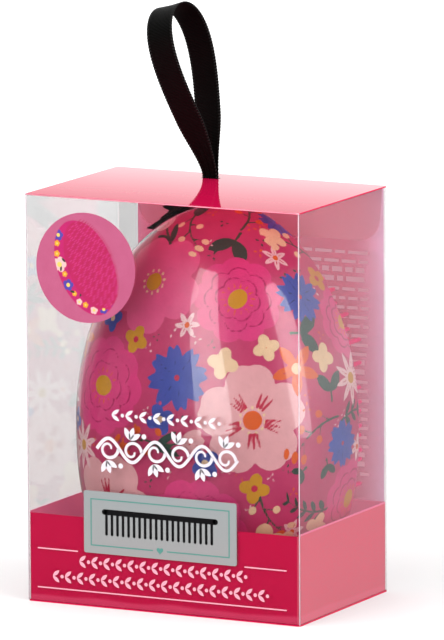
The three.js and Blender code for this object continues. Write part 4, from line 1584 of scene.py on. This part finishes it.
silver, tree, shader = new_finish("silver_label", paint("949898"), 0.28, Specular_IOR_Level=0.4)
# Painted sheen: the card's grey shifts with height and in broad patches.
height_share = map_range(tree, place_parts(tree)["Z"], label_low.z, label_high.z)
painted_sheen = mix_colours(tree, height_share, paint("9c9696"), paint("90989a"))
lay_colour(tree, shader, mix_colours(tree, noise_field(tree, 14 * MM), painted_sheen, paint("969999")))
refinish(silver, "label_plate")
print("label", [round(side / MM, 1) for side in (label_high - label_low)])

# %% Frame and heart
LABEL_INSET = 2.0
BORDER_WIDTH = 0.32
HEART_GAP = 2.1
HEART_SCALE = 0.062
HEART_RISE = 0.25
ON_LABEL = label_low.y - 0.02 * MM

left, right = label_low.x / MM + LABEL_INSET, label_high.x / MM - LABEL_INSET
low, high = label_low.z / MM + LABEL_INSET, label_high.z / MM - LABEL_INSET
middle = (left + right) / 2
border = [
    bar(left, high - BORDER_WIDTH, right, high),
    bar(left, low, left + BORDER_WIDTH, high - BORDER_WIDTH),
    bar(right - BORDER_WIDTH, low, right, high - BORDER_WIDTH),
    bar(left + BORDER_WIDTH, low, middle - HEART_GAP, low + BORDER_WIDTH),
    bar(middle + HEART_GAP, low, right - BORDER_WIDTH, low + BORDER_WIDTH),
]
heart = []
for t in np.linspace(0, math.tau, 40, endpoint=False):
    heart_rise = 13 * math.cos(t) - 5 * math.cos(2 * t) - 2 * math.cos(3 * t) - math.cos(4 * t)
    heart_x = middle + HEART_SCALE * 16 * math.sin(t) ** 3
    heart.append((heart_x, low + HEART_RISE + HEART_SCALE * heart_rise))
teal = two_shades("teal_ink", "4c867e", "5c988e", 0.4)
print_plates("label_border", border + [heart], teal, "silver_label", ON_LABEL)
print("frame", round(right - left, 1), "x", round(high - low, 1), "mm")

# %% [markdown]
# ### Comb on the label
# A comb in black ink fills the frame. One outline could follow all its teeth, but bars and dots
# that overlap do it in a short loop: a spine with round ends, and teeth with round tips.

# %% Comb on the label
COMB_HALF = 16.5
TOOTH_PITCH = 1.65
TOOTH_WIDTH = 0.75

TOOTH_LENGTH = 5.2
SPINE_HEIGHT = 1.5

black_ink = two_shades("black_ink", "0f0e10", "19181a", 0.35)
spine_z = low + 8.6
comb = [bar(middle - COMB_HALF, spine_z, middle + COMB_HALF, spine_z + SPINE_HEIGHT)]
for side in (-1, 1):
    comb.append(dot(middle + side * COMB_HALF, spine_z + SPINE_HEIGHT / 2, SPINE_HEIGHT / 2))
for x in np.arange(-COMB_HALF + 0.2, COMB_HALF, TOOTH_PITCH) + middle:
    comb.append(bar(x, spine_z - TOOTH_LENGTH, x + TOOTH_WIDTH, spine_z))
    comb.append(dot(x + TOOTH_WIDTH / 2, spine_z - TOOTH_LENGTH, TOOTH_WIDTH / 2))
print_plates("label_comb", comb, black_ink, "silver_label", ON_LABEL)
print("comb teeth:", len(comb) // 2 - 1)

# %% [markdown]
# ### Small print
# Through the film the back wall shows rows of small print. It is too small to read, so each word
# is a plain bar of a random length, and a few rows are bolder, like headings. The dark ink has a
# faint pink painted glow for the light that comes through the wall behind it, and it shows on both
# sides of the wall.

# %% Small print on the back
ROW_PITCH = 2.5
BOLD_ROWS = (2, 3, 12, 13, 22, 23)

chance = np.random.default_rng(8)
rows = []
for row, row_z in enumerate(np.arange(91.0, 29.0, -ROW_PITCH)):
    bold = row in BOLD_ROWS
    height = 1.35 if bold else 0.85
    row_end = 34.0 if bold else 35.5 - chance.uniform(0, 1)
    x = row_end
    while x > (8 if bold else -27):
        word = chance.uniform(1.6, 6.0)
        rows.append(bar(x - word, row_z, x, row_z + height))
        x -= word + 0.9
# Painted light: the dark ink glows pink, though no lamp is there.
small_print_painted_glow = two_shades(
    "small_print", "381a22", "482630", 0.6, Specular_IOR_Level=0.0,
    Emission_Color=paint("e69aac"), Emission_Strength=0.85,
)
behind_print, before_print = back_high.y + 0.02 * MM, back_low.y - 0.02 * MM
print_plates("small_print", rows, small_print_painted_glow, "lilac_print", before_print, behind_print)
print("words of small print:", len(rows))

# %% [markdown]
# ## Creases
# A folded plastic sheet catches a thin bright highlight along each fold. Painting it on the film
# would need a mask for each wall, so thin pale rods stand in for it, as a painted highlight, on the
# front corners and on the lid's front fold.

# %% Crease lines
CREASE_RADIUS = 0.17 * MM
CREASE_INSET = 0.17 * MM
ROD_SIDES = 8
carton_low, carton_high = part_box("carton_right")


def rod_points(start, end, axis, radius):
    """Two rings of points round the ends of a rod that runs along one axis."""
    first, second = [other for other in range(3) if other != axis]
    points = []
    for middle in (start, end):
        for spoke in np.arange(ROD_SIDES) * math.tau / ROD_SIDES:
            point = list(middle)
            point[first] += radius * math.cos(spoke)
            point[second] += radius * math.sin(spoke)
            points.append(point)
    return points


# Painted highlight: pale, half clear rods on the carton's front corners.
crease_highlight_finish = two_shades("painted_crease_highlight", "d4c0c8", "e8d8e0", 0.35, grain=1.5, Alpha=0.65)
points, faces = [], []
for side in (-1, 1):
    corner = (side * (carton_high.x - CREASE_INSET), FRONT_FACE + CREASE_INSET)
    faces += closed_faces(len(points), 2, ROD_SIDES)
    points += rod_points((*corner, carton_low.z), (*corner, carton_high.z), 2, CREASE_RADIUS)
new_piece("crease_highlights", points, faces, crease_highlight_finish, "carton")
print("crease lines", round((carton_high.z - carton_low.z) / MM, 1), "mm high")

# %% Fold of the lid
FOLD_RADIUS = 0.2 * MM
FOLD_INSET = 0.16 * MM
FOLD_SINK = 0.18 * MM

# Painted highlight: a pale pink rod along the lid's front fold.
painted_fold_highlight = two_shades("painted_fold_highlight", "de94a6", "f2acbe", 0.4, grain=1.5)
fold_y, fold_z = lid_low.y + FOLD_INSET, lid_high.z - FOLD_SINK
fold_points = rod_points((lid_low.x, fold_y, fold_z), (lid_high.x, fold_y, fold_z), 0, FOLD_RADIUS)
new_piece("lid_fold_highlight", fold_points, closed_faces(0, 2, ROD_SIDES), painted_fold_highlight, "lid")
print("lid fold", round((lid_high.x - lid_low.x) / MM, 1), "mm long")

# %% [markdown]
# ## Painted backlight of the band
# The band's ink looks paler on its inner side, where light comes through it. Its CAD sheet can have
# only one finish, so thin pale sheets with a faint glow line the two side walls and the back wall:
# painted light.

# %% Painted backlight of the band
band_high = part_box("base_band")[1]
BACKLIGHT_GAP = 0.04 * MM
BACKLIGHT_FOOT = 1 * MM
BACKLIGHT_RISE = 0.45 * MM
WALL = 0.5 * MM

inner_x = carton_high.x - WALL
inner_y = back_wall_high.y - WALL
sheets = (
    ((-inner_x, -inner_y), (-inner_x + BACKLIGHT_GAP, inner_y)),
    ((inner_x - BACKLIGHT_GAP, -inner_y), (inner_x, inner_y)),
    ((back_low.x, inner_y - BACKLIGHT_GAP), (inner_x, inner_y)),
)
points, faces = [], []
for (left, front), (right, back) in sheets:
    faces += closed_faces(len(points), 2, 4)
    for z in (BACKLIGHT_FOOT, band_high.z + BACKLIGHT_RISE):
        points += [(left, front, z), (right, front, z), (right, back, z), (left, back, z)]
# Painted light: pale pink sheets that glow faintly inside the band.
painted_backlight_finish = two_shades(
    "painted_backlight_ink", "d06488", "e07498", 0.4, grain=9, Emission_Color=paint("d86c90"), Emission_Strength=0.45,
)
new_piece("band_painted_backlight", points, faces, painted_backlight_finish, "carton", smooth=False)
print("painted backlight up to", round((band_high.z + BACKLIGHT_RISE) / MM, 1), "mm")
